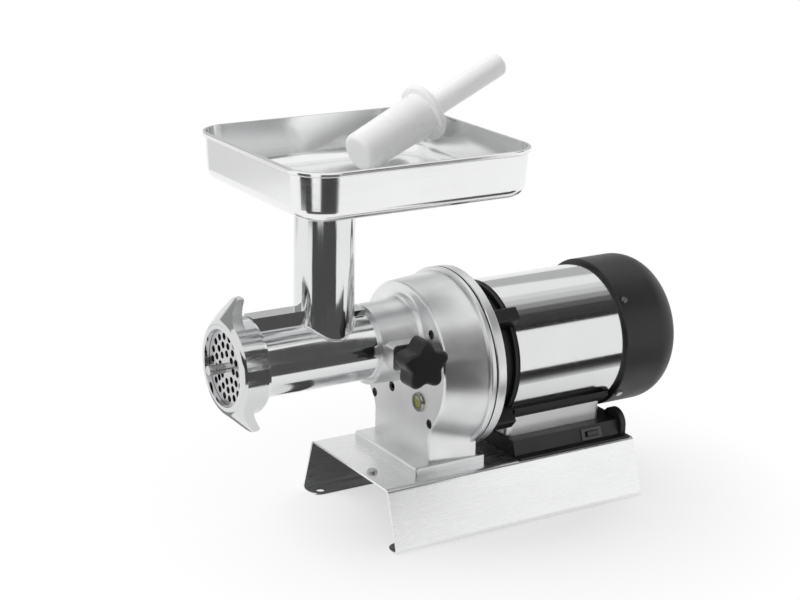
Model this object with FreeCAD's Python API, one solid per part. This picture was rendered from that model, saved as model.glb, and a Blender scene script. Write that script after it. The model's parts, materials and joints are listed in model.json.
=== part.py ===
import FreeCAD, Part
import math
import os

# Electric meat grinder, millimetres. X across (clamp knob on +X), Y along the machine
# (grinding plate towards -Y, motor towards +Y), Z up from the table. The origin is the
# centre of the stand's footprint. Places along Y are given from the gear case's front face.

# Stand: one bent sheet
BASE_LENGTH = 285.0
BASE_TOP_WIDTH = 144.0
BASE_FOOT_WIDTH = 183.6
BASE_HEIGHT = 58.5
SHEET = 2.0
BEND_RADIUS = 3.0
LIP_WIDTH = 24.0
LIP_CORNER = 12.0
LIP_HOLE_RADIUS = 4.5
LIP_HOLE_INSET = 12.0
LIP_HOLE_EDGE = 8.5
EARTH_SCREW_X = 26.0
EARTH_SCREW_INSET = 10.5
EARTH_SCREW_RADIUS = 2.5

# Axes and clearances
FACE_Y = -85.0
MOTOR_RISE = 91.5
HEAD_RISE = 27.0
RUN_FIT = 0.05
SEAT_FIT = 0.03
SLIDE_FIT = 0.08
BODY_GAP = 0.3
OVER = 1.0
TOLERANCE = 0.01

# Gear case casting
CASE_FRONT_RADIUS = 76.0
CASE_FRONT_RISE = 5.0
CASE_REAR_RADIUS = 85.0
CASE_DEPTH = 50.0
CASE_WALL = 5.5
FACE_WALL = 7.0
CASE_EDGE = 3.0
FLANGE_RADIUS = 88.0
FLANGE_THICKNESS = 6.0
FLANGE_EDGE = 1.5
PEDESTAL_FRONT = 50.0
PEDESTAL_REAR = 55.0
PEDESTAL_BLEND_FRONT = 20.0
PEDESTAL_BLEND_REAR = 10.0
FOOT_HALF = 57.0
FOOT_THICKNESS = 8.5
FOOT_LEDGE = 18.0
FOOT_TAIL = 10.0
FOOT_EDGE = 2.0
COLLAR_LENGTH = 44.0
COLLAR_WALL = 4.8
COLLAR_TAPER = 1.6
COLLAR_FLARE = 7.0
COLLAR_FLOOR = 4.0
LUG_REACH = 50.0
LUG_HALF_HEIGHT = 12.0
LUG_HALF_LENGTH = 16.0
LUG_CORNER = 4.0
CASE_SCREW_X = 50.0
CASE_SCREW_Z = 44.0
CASE_SCREW_RADIUS = 2.5
CASE_SCREW_HEAD = 4.25
CASE_SCREW_HEAD_LENGTH = 5.0
CASE_SCREW_RECESS = 4.0
CASE_COLUMN_RADIUS = 6.0
GASKET = 0.6
COVER_THICKNESS = 10.4
OIL_PLUG_X = -17.7
OIL_GLASS_X = 31.6
OIL_DROP = 27.7
OIL_PLUG_RADIUS = 5.0
GLASS_FLANGE_RADIUS = 9.5
GLASS_FLANGE = 2.5
GLASS_BODY_RADIUS = 8.0
GLASS_LENS_RADIUS = 6.0
FOOT_BOLT_X = 40.0
FOOT_BOLT_INSET = 8.0
FOOT_BOLT_RADIUS = 4.0
FOOT_BOLT_DEPTH = 15.0
BOLT_HEAD_RADIUS = 7.5
BOLT_HEAD_HEIGHT = 5.5

# Gear train
PRESSURE_ANGLE = math.radians(25.0)
BACKLASH = 0.24
DEDENDUM = 1.25
FIRST_MODULE = 1.25
FIRST_PINION_TEETH = 15
FIRST_GEAR_TEETH = 52
SECOND_MODULE = 1.75
SECOND_PINION_TEETH = 15
SECOND_GEAR_TEETH = 45
OUTPUT_GEAR_START = 20.0
OUTPUT_GEAR_WIDTH = 14.0
LAY_PINION_WIDTH = 16.0
LAY_GEAR_START = 36.5
LAY_GEAR_WIDTH = 11.5
PINION_WIDTH = 13.0
OUTPUT_RADIUS = 15.0
OUTPUT_GEAR_BORE = 13.0
OUTPUT_TAIL_RADIUS = 8.5
LAY_RADIUS = 10.0
LAY_JOURNAL_RADIUS = 7.5
FRONT_BEARING_RADIUS = 22.0
FRONT_BEARING_WIDTH = 12.0
FRONT_BEARING_START = 5.0
TAIL_BEARING_RADIUS = 14.0
LAY_BEARING_RADIUS = 13.0
LAY_BEARING_START = 4.0
SMALL_BEARING_WIDTH = 8.0
HUB_WALL = 5.0
BEARING_DISH = 0.8
RACE_SHARE = 0.28
SEAL_RADIUS = 21.0
SEAL_WIDTH = 7.0
SOCKET_NOSE = 32.0

# Motor
DRUM_RADIUS = 64.0
SLEEVE_RADIUS = 70.0
SLEEVE_WALL = 1.2
SLEEVE_START = 88.4
SLEEVE_LENGTH = 124.6
SHIELD_BAND = 4.4
SHIELD_WEB = 12.0
SHIELD_RIM = 14.0
SHIELD_RIM_WALL = 6.0
SHIELD_LIP = 4.0
SHAFT_RADIUS = 8.5
PINION_BORE = 5.0
ROTOR_SHAFT_RADIUS = 11.0
TAIL_SHAFT_RADIUS = 7.5
MOTOR_BEARING_RADIUS = 17.5
MOTOR_BEARING_WIDTH = 12.0
REAR_BEARING_RADIUS = 15.0
REAR_BEARING_WIDTH = 10.0
SHAFT_SEAL_RADIUS = 11.0
STATOR_START = 118.0
STATOR_LENGTH = 66.0
STATOR_BORE = 36.0
AIR_GAP = 0.5
WINDING_INNER = 42.0
WINDING_OUTER = 62.0
WINDING_LENGTH = 13.5
END_RING = 6.0
LUG_OUTER = 84.0
LUG_HALF_WIDTH = 7.0
LUG_ANGLE = 42.0
LUG_ROUND = 2.3
COVER_RADIUS = 74.5
COVER_WALL = 2.2
COVER_LENGTH = 73.0
COVER_CORNER = 30.0
COVER_SEAT = 8.0
COVER_SLOTS = 20
COVER_SLOT_INNER = 16.0
COVER_SLOT_OUTER = 42.0
COVER_SLOT_WIDTH = 4.0
COVER_SCREW_ANGLE = 40.0
COVER_SCREW_RADIUS = 1.9
COVER_SCREW_HEAD = 3.4
COVER_SCREW_HEAD_HEIGHT = 1.8
COVER_SCREW_INSET = 5.0
COVER_SCREW_LENGTH = 6.0
FAN_RADIUS = 60.0
FAN_HUB = 13.0
FAN_DISC = 2.5
FAN_BLADES = 8
FAN_BLADE_HEIGHT = 18.0
FAN_BLADE_THICKNESS = 2.0
FAN_START = 225.0

# Motor saddle, plinth and switch
SADDLE_HALF = 45.0
SADDLE_START = 93.5
SADDLE_LENGTH = 111.5
SADDLE_TOP = 98.0
SADDLE_CORNER = 6.0
PAD_THICKNESS = 3.0
PAD_HALF = 52.0
PAD_FRONT_INSET = 8.6
PAD_REAR_INSET = 4.0
PLINTH_START = 92.0
PLINTH_LENGTH = 132.0
PLINTH_HEIGHT = 15.5
PLINTH_FOOT_HALF = 63.0
PLINTH_TOP_HALF = 57.0
PLINTH_FLANGE_HALF = 71.0
PLINTH_WALL = 2.0
PLINTH_SCREW_X = 48.0
PLINTH_SCREW_INSET = 9.0
PLINTH_SCREW_RADIUS = 2.0
PLINTH_SCREW_DEPTH = 9.0
PLINTH_BOSS_RADIUS = 5.0
EAR_X = 49.0
EAR_RADIUS = 15.0
EAR_RISE = 9.5
EAR_THICKNESS = 6.0
CAPACITOR_SIZE = (44.0, 26.0, 10.5)
CAPACITOR_START = 118.0
SWITCH_PLACE = 92.0
SWITCH_LENGTH = 24.0
SWITCH_HEIGHT = 11.0
SWITCH_PLATE = 1.2
SWITCH_DEPTH = 8.0
ROCKER_LENGTH = 14.4
ROCKER_HEIGHT = 5.0
ROCKER_DEPTH = 5.0
ROCKER_RISE = 2.6
ROCKER_TILT = 8.0
ROCKER_GAP = 0.8
ROCKER_PIVOT_DEPTH = 1.5
ROCKER_PIVOT_RADIUS = 1.0

# Grinder head
BARREL_RADIUS = 33.2
BARREL_BORE = 28.7
BARREL_TAIL = 6.0
HEAD_FRONT = 184.0
HEAD_FLANGE_LENGTH = 22.0
HEAD_FLANGE_CONE = 5.0
THREAD_WALL = 1.8
CHAMBER_DEPTH = 21.5
NECK_FROM_FACE = 85.6
NECK_RADIUS = 28.0
NECK_WALL = 2.0
RIB_HALF = 9.0
RIB_TOP = 45.0
RIB_REAR_TOP = 37.0
RIB_REAR_END = 47.0
RIB_FRONT_END = 163.0
BUSH_RADIUS = 17.0
BUSH_START = 50.0
BUSH_LENGTH = 14.0
TAIL_RECESS_RADIUS = 27.0
JOURNAL_RADIUS = 13.0
PLATE_RADIUS = 41.0
PLATE_THICKNESS = 9.0
PLATE_PROUD = 1.0
PLATE_HOLE_RADIUS = 3.25
PLATE_RINGS = ((13.0, 8), (20.7, 13), (28.6, 18))
PLATE_PIN_RADIUS = 2.0
PLATE_PIN_LENGTH = 11.0
KNIFE_RADIUS = 37.0
KNIFE_THICKNESS = 11.0
KNIFE_HUB = 13.0
KNIFE_BLADES = 4
KNIFE_BLADE_WIDTH = 11.0
KNIFE_RELIEF_ANGLE = 45.0
AUGER_CORE = 12.0
AUGER_RADIUS = 28.2
AUGER_PITCH = 34.0
AUGER_FLIGHT = 5.0
AUGER_SHOULDER = 22.0
AUGER_SHOULDER_LENGTH = 4.0
DRIVE_SQUARE = 15.0
DRIVE_LENGTH = 20.0
KNIFE_SQUARE = 14.0
STUD_RADIUS = 4.5
STUD_REACH = 18.6
NUT_WALL = 2.2
NUT_OPENING = 35.9
NUT_LIP = 4.7
NUT_LENGTH = 24.5
NUT_FRONT_EDGE = 8.0
NUT_FRONT_LAND = 6.0
NUT_TURN = 15.0
WING_REACH = 62.0
WING_TIP_RADIUS = 9.5
WING_BLEND = 200.0
WING_SWEEP = 22.0
WING_TIP_THICKNESS = 8.0
WING_ROOT_THICKNESS = 6.0
WING_EDGE = 2.4

# Clamp
CLAMP_FROM_FACE = 24.5
CLAMP_STUD_RADIUS = 5.0
CLAMP_PAD_RADIUS = 6.5
CLAMP_PAD_LENGTH = 5.0
CLAMP_TRAVEL = 5.0
KNOB_RADIUS = 20.5
KNOB_WAVE = 3.3
KNOB_LOBES = 5
KNOB_START = 63.0
KNOB_THICKNESS = 21.0
KNOB_HUB_RADIUS = 11.0
KNOB_HUB_LENGTH = 8.0
KNOB_EDGE = 3.0

# Tray and pestle
TRAY_WIDTH = 224.0
TRAY_LENGTH = 243.0
TRAY_OFFSET = 41.2
TRAY_RIM_RISE = 197.2
TRAY_DEPTH = 44.0
TRAY_CORNER = 34.0
TRAY_DRAFT = 3.0
TRAY_BOTTOM_RADIUS = 12.0
TRAY_SHEET = 1.2
TRAY_RIM_WIDTH = 3.4
TRAY_RIM_HEIGHT = 4.2
SPIGOT_LENGTH = 24.0
SPIGOT_WALL = 1.2
PESTLE_FROM_SIDE = 66.5
PESTLE_FROM_FACE = 16.0
PESTLE_SIDE_TURN = 8.6
PESTLE_TIP_RADIUS = 19.8
PESTLE_BODY_RADIUS = 21.5
PESTLE_BODY_LENGTH = 82.0
PESTLE_GUARD_RADIUS = 28.5
PESTLE_GUARD = 7.0
PESTLE_HANDLE_RADIUS = 11.5
PESTLE_LENGTH = 190.0
PESTLE_EDGE = 5.0

# Worked-out places
MOTOR_Z = BASE_HEIGHT + MOTOR_RISE
HEAD_Z = MOTOR_Z + HEAD_RISE
OIL_Z = MOTOR_Z - OIL_DROP
SLEEVE_BORE = SLEEVE_RADIUS - SLEEVE_WALL
SLEEVE_END = SLEEVE_START + SLEEVE_LENGTH
COLLAR_BORE = BARREL_RADIUS + SLIDE_FIT
COLLAR_RADIUS = COLLAR_BORE + COLLAR_WALL
COVER_START = CASE_DEPTH + GASKET
COVER_END = COVER_START + COVER_THICKNESS
THREAD_RADIUS = PLATE_RADIUS + SEAT_FIT + THREAD_WALL
NUT_BORE = THREAD_RADIUS + BODY_GAP
NUT_RADIUS = NUT_BORE + NUT_WALL
PLATE_FRONT = HEAD_FRONT + PLATE_PROUD
PLATE_BACK = PLATE_FRONT - PLATE_THICKNESS
CHAMBER_BACK = HEAD_FRONT - CHAMBER_DEPTH
TRAY_RIM_Z = HEAD_Z + TRAY_RIM_RISE
TRAY_FLOOR_Z = TRAY_RIM_Z - TRAY_DEPTH
NECK_TOP = TRAY_FLOOR_Z - TRAY_SHEET - SLIDE_FIT
NECK_BORE = NECK_RADIUS - NECK_WALL
PLINTH_TOP_Z = BASE_HEIGHT + PLINTH_HEIGHT
FIRST_CENTRES = FIRST_MODULE * (FIRST_PINION_TEETH + FIRST_GEAR_TEETH) / 2
SECOND_CENTRES = SECOND_MODULE * (SECOND_PINION_TEETH + SECOND_GEAR_TEETH) / 2
LAY_DROP = (SECOND_CENTRES ** 2 - FIRST_CENTRES ** 2 - HEAD_RISE ** 2) / (2 * HEAD_RISE)
LAY_X = -math.sqrt(FIRST_CENTRES ** 2 - LAY_DROP ** 2)
LAY_Z = MOTOR_Z - LAY_DROP
SOCKET_END = DRIVE_LENGTH + BUSH_LENGTH - BUSH_START + BODY_GAP
PAD_INNER = BARREL_RADIUS + BODY_GAP
PAD_OUTER = PAD_INNER + CLAMP_PAD_LENGTH
PAD_POCKET_END = PAD_OUTER + CLAMP_TRAVEL + BODY_GAP


def vec(x, y, z):
    return FreeCAD.Vector(x, y, z)


AXIS_X = vec(1, 0, 0)
AXIS_Y = vec(0, 1, 0)
AXIS_Z = vec(0, 0, 1)


def box(x0, x1, y0, y1, z0, z1):
    return Part.makeBox(x1 - x0, y1 - y0, z1 - z0, vec(x0, FACE_Y + y0, z0))


def rod(radius, y0, y1, x=0.0, z=MOTOR_Z):
    return Part.makeCylinder(radius, y1 - y0, vec(x, FACE_Y + y0, z), AXIS_Y)


def post(radius, x, y, z0, z1):
    return Part.makeCylinder(radius, z1 - z0, vec(x, FACE_Y + y, z0), AXIS_Z)


def peg(radius, x0, x1, y, z):
    return Part.makeCylinder(radius, x1 - x0, vec(x0, FACE_Y + y, z), AXIS_X)


def tube(outer, inner, y0, y1, x=0.0, z=MOTOR_Z):
    return rod(outer, y0, y1, x, z).cut(rod(inner, y0 - OVER, y1 + OVER, x, z))


def turned(profile, x=0.0, z=MOTOR_Z):
    """Solid of revolution about a line along Y, from (radius, distance behind the face) points."""
    points = [vec(radius, FACE_Y + y, 0) for radius, y in profile]
    face = Part.Face(Part.makePolygon(points + points[:1]))
    solid = face.revolve(vec(0, 0, 0), AXIS_Y, 360)
    solid.translate(vec(x, 0, z))
    return solid


def joined(first, *others):
    return first.fuse(list(others)).removeSplitter()


def is_straight(edge, direction):
    if edge.Curve.TypeId != "Part::GeomLine":
        return False
    return abs(edge.tangentAt(edge.FirstParameter).dot(direction)) > 1 - TOLERANCE


def is_circle(edge, radius):
    return edge.Curve.TypeId == "Part::GeomCircle" and abs(edge.Curve.Radius - radius) < TOLERANCE


def rounded(shape, radius, picked):
    return shape.makeFillet(radius, [edge for edge in shape.Edges if picked(edge)])


def spun(shape, degrees, x=0.0, z=MOTOR_Z):
    copy = shape.copy()
    copy.rotate(vec(x, 0, z), AXIS_Y, degrees)
    return copy


def polar(radius, angle, x, y, z):
    return vec(x + radius * math.cos(angle), FACE_Y + y, z + radius * math.sin(angle))


def bearing(outer, bore, y0, width, x=0.0, z=MOTOR_Z):
    """Shielded ball bearing: both faces are dished between the two races."""
    race = (outer - bore) * RACE_SHARE
    y1 = y0 + width
    ring = tube(outer, bore, y0, y1, x, z)
    for start in (y0 - OVER, y1 - BEARING_DISH):
        ring = ring.cut(tube(outer - race, bore + race, start, start + OVER + BEARING_DISH, x, z))
    return ring


def hexagon_prism(across_half, x, y, z0, z1):
    points = [vec(x + across_half * math.cos(k * math.pi / 3),
                  FACE_Y + y + across_half * math.sin(k * math.pi / 3), z0) for k in range(6)]
    return Part.Face(Part.makePolygon(points + points[:1])).extrude(vec(0, 0, z1 - z0))


def gear(module, teeth, y0, width, x, z, tooth_angle):
    """Involute spur gear with a tooth centred on tooth_angle; flanks are three-point arcs."""
    pitch = module * teeth / 2
    base = pitch * math.cos(PRESSURE_ANGLE)
    tip = pitch + module
    root = pitch - DEDENDUM * module
    start = max(base, root)
    half_at_pitch = math.pi / (2 * teeth) - BACKLASH / (2 * pitch)
    involute_at_pitch = math.tan(PRESSURE_ANGLE) - PRESSURE_ANGLE

    def half_angle(radius):
        roll = math.acos(min(1.0, base / radius))
        return half_at_pitch + involute_at_pitch - (math.tan(roll) - roll)

    edges = []
    step = 2 * math.pi / teeth
    middle = (start + tip) / 2
    for index in range(teeth):
        centre = tooth_angle + index * step
        rising = [polar(r, centre - half_angle(r), x, y0, z) for r in (start, middle, tip)]
        falling = [polar(r, centre + half_angle(r), x, y0, z) for r in (tip, middle, start)]
        foot = polar(root, centre - half_angle(start), x, y0, z)
        toe = polar(root, centre + half_angle(start), x, y0, z)
        valley = polar(root, centre + step / 2, x, y0, z)
        next_foot = polar(root, centre + step - half_angle(start), x, y0, z)
        if start > root:
            edges.append(Part.LineSegment(foot, rising[0]).toShape())
        edges.append(Part.Arc(*rising).toShape())
        edges.append(Part.Arc(rising[2], polar(tip, centre, x, y0, z), falling[0]).toShape())
        edges.append(Part.Arc(*falling).toShape())
        if start > root:
            edges.append(Part.LineSegment(falling[2], toe).toShape())
        edges.append(Part.Arc(toe, valley, next_foot).toShape())
    return Part.Face(Part.Wire(edges)).extrude(vec(0, width, 0))


def rounded_rectangle(half_x, y0, y1, corner, z):
    """Closed wire of a rectangle with round corners, flat at height z."""
    low = FACE_Y + y0
    high = FACE_Y + y1
    diagonal = corner * (1 - math.sqrt(0.5))
    edges = [
        Part.LineSegment(vec(-half_x + corner, low, z), vec(half_x - corner, low, z)).toShape(),
        Part.Arc(vec(half_x - corner, low, z), vec(half_x - diagonal, low + diagonal, z),
                 vec(half_x, low + corner, z)).toShape(),
        Part.LineSegment(vec(half_x, low + corner, z), vec(half_x, high - corner, z)).toShape(),
        Part.Arc(vec(half_x, high - corner, z), vec(half_x - diagonal, high - diagonal, z),
                 vec(half_x - corner, high, z)).toShape(),
        Part.LineSegment(vec(half_x - corner, high, z), vec(-half_x + corner, high, z)).toShape(),
        Part.Arc(vec(-half_x + corner, high, z), vec(-half_x + diagonal, high - diagonal, z),
                 vec(-half_x, high - corner, z)).toShape(),
        Part.LineSegment(vec(-half_x, high - corner, z), vec(-half_x, low + corner, z)).toShape(),
        Part.Arc(vec(-half_x, low + corner, z), vec(-half_x + diagonal, low + diagonal, z),
                 vec(-half_x + corner, low, z)).toShape(),
    ]
    return Part.Wire(edges)


# Stand
BASE_FRONT = -BASE_LENGTH / 2 - FACE_Y
BASE_BACK = BASE_LENGTH / 2 - FACE_Y
FOOT_BOLT_PLACES = [(x, y) for x in (-FOOT_BOLT_X, FOOT_BOLT_X)
                    for y in (FOOT_BOLT_INSET, CASE_DEPTH - FOOT_BOLT_INSET)]
PLINTH_SCREW_PLACES = [(x, y) for x in (-PLINTH_SCREW_X, PLINTH_SCREW_X)
                       for y in (PLINTH_START + PLINTH_SCREW_INSET,
                                 PLINTH_START + PLINTH_LENGTH - PLINTH_SCREW_INSET)]
EARTH_SCREW_Y = BASE_FRONT + EARTH_SCREW_INSET


def channel_block(inset):
    """Trapezoidal bar as long as the stand, drawn in by the inset on all four sides."""
    lean = (BASE_FOOT_WIDTH - BASE_TOP_WIDTH) / 2 / BASE_HEIGHT
    shift = inset * math.sqrt(1 + lean ** 2)
    corners = []
    for z in (inset, BASE_HEIGHT - inset):
        half = BASE_FOOT_WIDTH / 2 - lean * z - shift
        corners.append((half, z))
    outline = [corners[0], corners[1], (-corners[1][0], corners[1][1]), (-corners[0][0], corners[0][1])]
    points = [vec(x, -BASE_LENGTH / 2, z) for x, z in outline]
    block = Part.Face(Part.makePolygon(points + points[:1])).extrude(vec(0, BASE_LENGTH, 0))
    radius = BEND_RADIUS + SHEET - inset
    return rounded(block, radius, lambda edge: is_straight(edge, AXIS_Y))


def base_stand():
    lip_edge = BASE_FOOT_WIDTH / 2 - LIP_WIDTH
    gap = box(-lip_edge, lip_edge, BASE_FRONT - OVER, BASE_BACK + OVER, -OVER, SHEET + OVER)
    stand = channel_block(0.0).cut(channel_block(SHEET)).cut(gap)

    def lip_corner(edge):
        return is_straight(edge, AXIS_Z) and abs(abs(edge.CenterOfMass.x) - lip_edge) < TOLERANCE

    stand = rounded(stand, LIP_CORNER, lip_corner)
    holes = []
    for x in (-1, 1):
        for y in (BASE_FRONT + LIP_HOLE_INSET, BASE_BACK - LIP_HOLE_INSET):
            lip_x = x * (lip_edge + LIP_HOLE_EDGE)
            holes.append(post(LIP_HOLE_RADIUS, lip_x, y, -OVER, SHEET + OVER))
    top = (BASE_HEIGHT - SHEET - OVER, BASE_HEIGHT + OVER)
    for x, y in FOOT_BOLT_PLACES:
        holes.append(post(FOOT_BOLT_RADIUS + BODY_GAP, x, y, *top))
    for x, y in PLINTH_SCREW_PLACES:
        holes.append(post(PLINTH_SCREW_RADIUS + BODY_GAP, x, y, *top))
    holes.append(post(EARTH_SCREW_RADIUS + SEAT_FIT, EARTH_SCREW_X, EARTH_SCREW_Y, *top))
    return stand.cut(holes)


def earth_screw():
    top = BASE_HEIGHT + EARTH_SCREW_RADIUS
    head = post(2 * EARTH_SCREW_RADIUS, EARTH_SCREW_X, EARTH_SCREW_Y, BASE_HEIGHT, top)
    head = rounded(head, EARTH_SCREW_RADIUS / 2, lambda edge: is_circle(edge, 2 * EARTH_SCREW_RADIUS)
                   and edge.CenterOfMass.z > top - TOLERANCE)
    under = BASE_HEIGHT - SHEET - 2 * EARTH_SCREW_RADIUS
    shank = post(EARTH_SCREW_RADIUS, EARTH_SCREW_X, EARTH_SCREW_Y, under, BASE_HEIGHT)
    nut = hexagon_prism(2 * EARTH_SCREW_RADIUS, EARTH_SCREW_X, EARTH_SCREW_Y, under + OVER,
                        BASE_HEIGHT - SHEET)
    return joined(head, shank, nut)


# Gear case
def case_outline(radius, centre_z, half, blend, y):
    """Drum circle running through concave arcs into a straight-sided pedestal."""
    low = BASE_HEIGHT
    reach = radius + blend
    blend_x = half + blend
    drop = math.sqrt(reach ** 2 - blend_x ** 2)
    blend_z = centre_z - drop
    touch = (blend_x * radius / reach, centre_z - drop * radius / reach)
    bisector = math.atan2(touch[1] - blend_z, touch[0] - blend_x) / 2 + math.pi / 2
    middle = (blend_x + blend * math.cos(bisector), blend_z + blend * math.sin(bisector))
    plane = FACE_Y + y

    def at(x, z):
        return vec(x, plane, z)

    edges = [
        Part.Arc(at(touch[0], touch[1]), at(0, centre_z + radius), at(-touch[0], touch[1])).toShape(),
        Part.Arc(at(-touch[0], touch[1]), at(-middle[0], middle[1]), at(-half, blend_z)).toShape(),
        Part.LineSegment(at(-half, blend_z), at(-half, low)).toShape(),
        Part.LineSegment(at(-half, low), at(half, low)).toShape(),
        Part.LineSegment(at(half, low), at(half, blend_z)).toShape(),
        Part.Arc(at(half, blend_z), at(middle[0], middle[1]), at(touch[0], touch[1])).toShape(),
    ]
    return Part.Wire(edges)


def circle_wire(radius, centre_z, y):
    return Part.Wire(Part.makeCircle(radius, vec(0, FACE_Y + y, centre_z), AXIS_Y))


CASE_FRONT_Z = MOTOR_Z + CASE_FRONT_RISE
CASE_SCREW_PLACES = [(x, MOTOR_Z + z) for x in (-CASE_SCREW_X, CASE_SCREW_X)
                     for z in (-CASE_SCREW_Z, CASE_SCREW_Z)]


def drum_inside(wall, y0, y1):
    """Space within the drum, a wall's thickness in from its tapered outside."""
    front = circle_wire(CASE_FRONT_RADIUS - wall, CASE_FRONT_Z, y0)
    rear = circle_wire(CASE_REAR_RADIUS - wall, MOTOR_Z, y1)
    return Part.makeLoft([front, rear], True, True)


def case_cavity():
    lip = rod(CASE_REAR_RADIUS - CASE_WALL, CASE_DEPTH, CASE_DEPTH + OVER)
    return drum_inside(CASE_WALL, FACE_WALL, CASE_DEPTH).fuse(lip)


def screw_columns(y0, y1):
    """Posts for the case screws, each webbed outwards towards the drum wall."""
    reach = math.hypot(CASE_SCREW_X, CASE_SCREW_Z)
    half = CASE_COLUMN_RADIUS / 2
    posts = []
    for x, z in CASE_SCREW_PLACES:
        web = box(reach, CASE_REAR_RADIUS, y0, y1, MOTOR_Z - half, MOTOR_Z + half)
        web = spun(web, -math.degrees(math.atan2(z - MOTOR_Z, x)))
        posts.append(rod(CASE_COLUMN_RADIUS, y0, y1, x, z).fuse(web))
    return posts


def collar():
    """Socket for the barrel: a slightly tapered tube that flares into the face."""
    front = COLLAR_RADIUS
    back = COLLAR_RADIUS + COLLAR_TAPER
    flare = COLLAR_FLARE
    knee = flare * (1 - math.sqrt(0.5))
    points = [vec(0, FACE_Y + FACE_WALL, 0), vec(0, FACE_Y - COLLAR_LENGTH, 0),
              vec(front, FACE_Y - COLLAR_LENGTH, 0), vec(back, FACE_Y - flare, 0),
              vec(back + knee, FACE_Y - knee, 0), vec(back + flare, FACE_Y, 0),
              vec(back + flare, FACE_Y + FACE_WALL, 0)]
    edges = [Part.LineSegment(points[k], points[k + 1]).toShape() for k in range(3)]
    edges.append(Part.Arc(points[3], points[4], points[5]).toShape())
    edges.append(Part.LineSegment(points[5], points[6]).toShape())
    edges.append(Part.LineSegment(points[6], points[0]).toShape())
    solid = Part.Face(Part.Wire(edges)).revolve(vec(0, 0, 0), AXIS_Y, 360)
    solid.translate(vec(0, 0, HEAD_Z))
    return solid


def clamp_lug():
    lug = box(COLLAR_BORE / 2, LUG_REACH, -CLAMP_FROM_FACE - LUG_HALF_LENGTH,
              -CLAMP_FROM_FACE + LUG_HALF_LENGTH, HEAD_Z - LUG_HALF_HEIGHT, HEAD_Z + LUG_HALF_HEIGHT)
    return rounded(lug, LUG_CORNER, lambda edge: is_straight(edge, AXIS_X))


def gear_housing():
    shell = Part.makeLoft([
        case_outline(CASE_FRONT_RADIUS, CASE_FRONT_Z, PEDESTAL_FRONT, PEDESTAL_BLEND_FRONT, 0.0),
        case_outline(CASE_REAR_RADIUS, MOTOR_Z, PEDESTAL_REAR, PEDESTAL_BLEND_REAR, CASE_DEPTH)],
        True, True)
    shell = rounded(shell, CASE_EDGE, lambda edge: abs(edge.CenterOfMass.y - FACE_Y) < TOLERANCE
                    and edge.CenterOfMass.z > BASE_HEIGHT + OVER)
    flange = rod(FLANGE_RADIUS, CASE_DEPTH - FLANGE_THICKNESS, CASE_DEPTH)
    flange = rounded(flange, FLANGE_EDGE, lambda edge: is_circle(edge, FLANGE_RADIUS))
    foot = box(-FOOT_HALF, FOOT_HALF, -FOOT_LEDGE, CASE_DEPTH + FOOT_TAIL, BASE_HEIGHT,
               BASE_HEIGHT + FOOT_THICKNESS)
    foot = rounded(foot, FOOT_EDGE, lambda edge: is_straight(edge, AXIS_Z)
                   or (edge.CenterOfMass.z > BASE_HEIGHT + FOOT_THICKNESS - OVER))
    foot = foot.cut(rod(FLANGE_RADIUS + BODY_GAP, CASE_DEPTH, CASE_DEPTH + FOOT_TAIL + OVER))
    body = joined(shell, flange, foot, collar(), clamp_lug()).cut(case_cavity())
    hub = rod(FRONT_BEARING_RADIUS + HUB_WALL, FACE_WALL - OVER,
              FRONT_BEARING_START + FRONT_BEARING_WIDTH, z=HEAD_Z)
    lay_hub = rod(LAY_BEARING_RADIUS + HUB_WALL, FACE_WALL - OVER,
                  LAY_BEARING_START + SMALL_BEARING_WIDTH, LAY_X, LAY_Z)
    within_wall = drum_inside(CASE_WALL / 2, FACE_WALL - OVER, CASE_DEPTH)
    columns = [column.common(within_wall) for column in screw_columns(FACE_WALL - OVER, CASE_DEPTH)]
    body = joined(body, hub, lay_hub, *columns)
    seal_end = -COLLAR_FLOOR + SEAL_WIDTH
    cuts = [
        rod(COLLAR_BORE, -COLLAR_LENGTH - OVER, -COLLAR_FLOOR, z=HEAD_Z),
        rod(SEAL_RADIUS + SEAT_FIT, -COLLAR_FLOOR - OVER, seal_end, z=HEAD_Z),
        rod(OUTPUT_RADIUS + BODY_GAP, seal_end - OVER, FRONT_BEARING_START + OVER, z=HEAD_Z),
        rod(FRONT_BEARING_RADIUS + SEAT_FIT, FRONT_BEARING_START,
            FRONT_BEARING_START + FRONT_BEARING_WIDTH + OVER, z=HEAD_Z),
        rod(LAY_BEARING_RADIUS + SEAT_FIT, LAY_BEARING_START,
            LAY_BEARING_START + SMALL_BEARING_WIDTH + OVER, LAY_X, LAY_Z),
        rod(OIL_PLUG_RADIUS + SEAT_FIT, -OVER, FACE_WALL + OVER, OIL_PLUG_X, OIL_Z),
        rod(GLASS_BODY_RADIUS + SEAT_FIT, -OVER, FACE_WALL + OVER, OIL_GLASS_X, OIL_Z),
        peg(CLAMP_STUD_RADIUS + RUN_FIT, COLLAR_BORE / 2, LUG_REACH + OVER, -CLAMP_FROM_FACE, HEAD_Z),
        peg(CLAMP_PAD_RADIUS + RUN_FIT, COLLAR_BORE / 2, PAD_POCKET_END, -CLAMP_FROM_FACE, HEAD_Z),
    ]
    recess_end = CASE_SCREW_RECESS + CASE_SCREW_HEAD_LENGTH
    for x, z in CASE_SCREW_PLACES:
        cuts.append(rod(CASE_SCREW_HEAD + BODY_GAP, -OVER, recess_end, x, z))
        cuts.append(rod(CASE_SCREW_RADIUS + BODY_GAP, recess_end - OVER, CASE_DEPTH + OVER, x, z))
    for x, y in FOOT_BOLT_PLACES:
        cuts.append(post(FOOT_BOLT_RADIUS + SEAT_FIT, x, y, BASE_HEIGHT - OVER,
                         BASE_HEIGHT + FOOT_BOLT_DEPTH + OVER))
    return body.cut(cuts)


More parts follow.
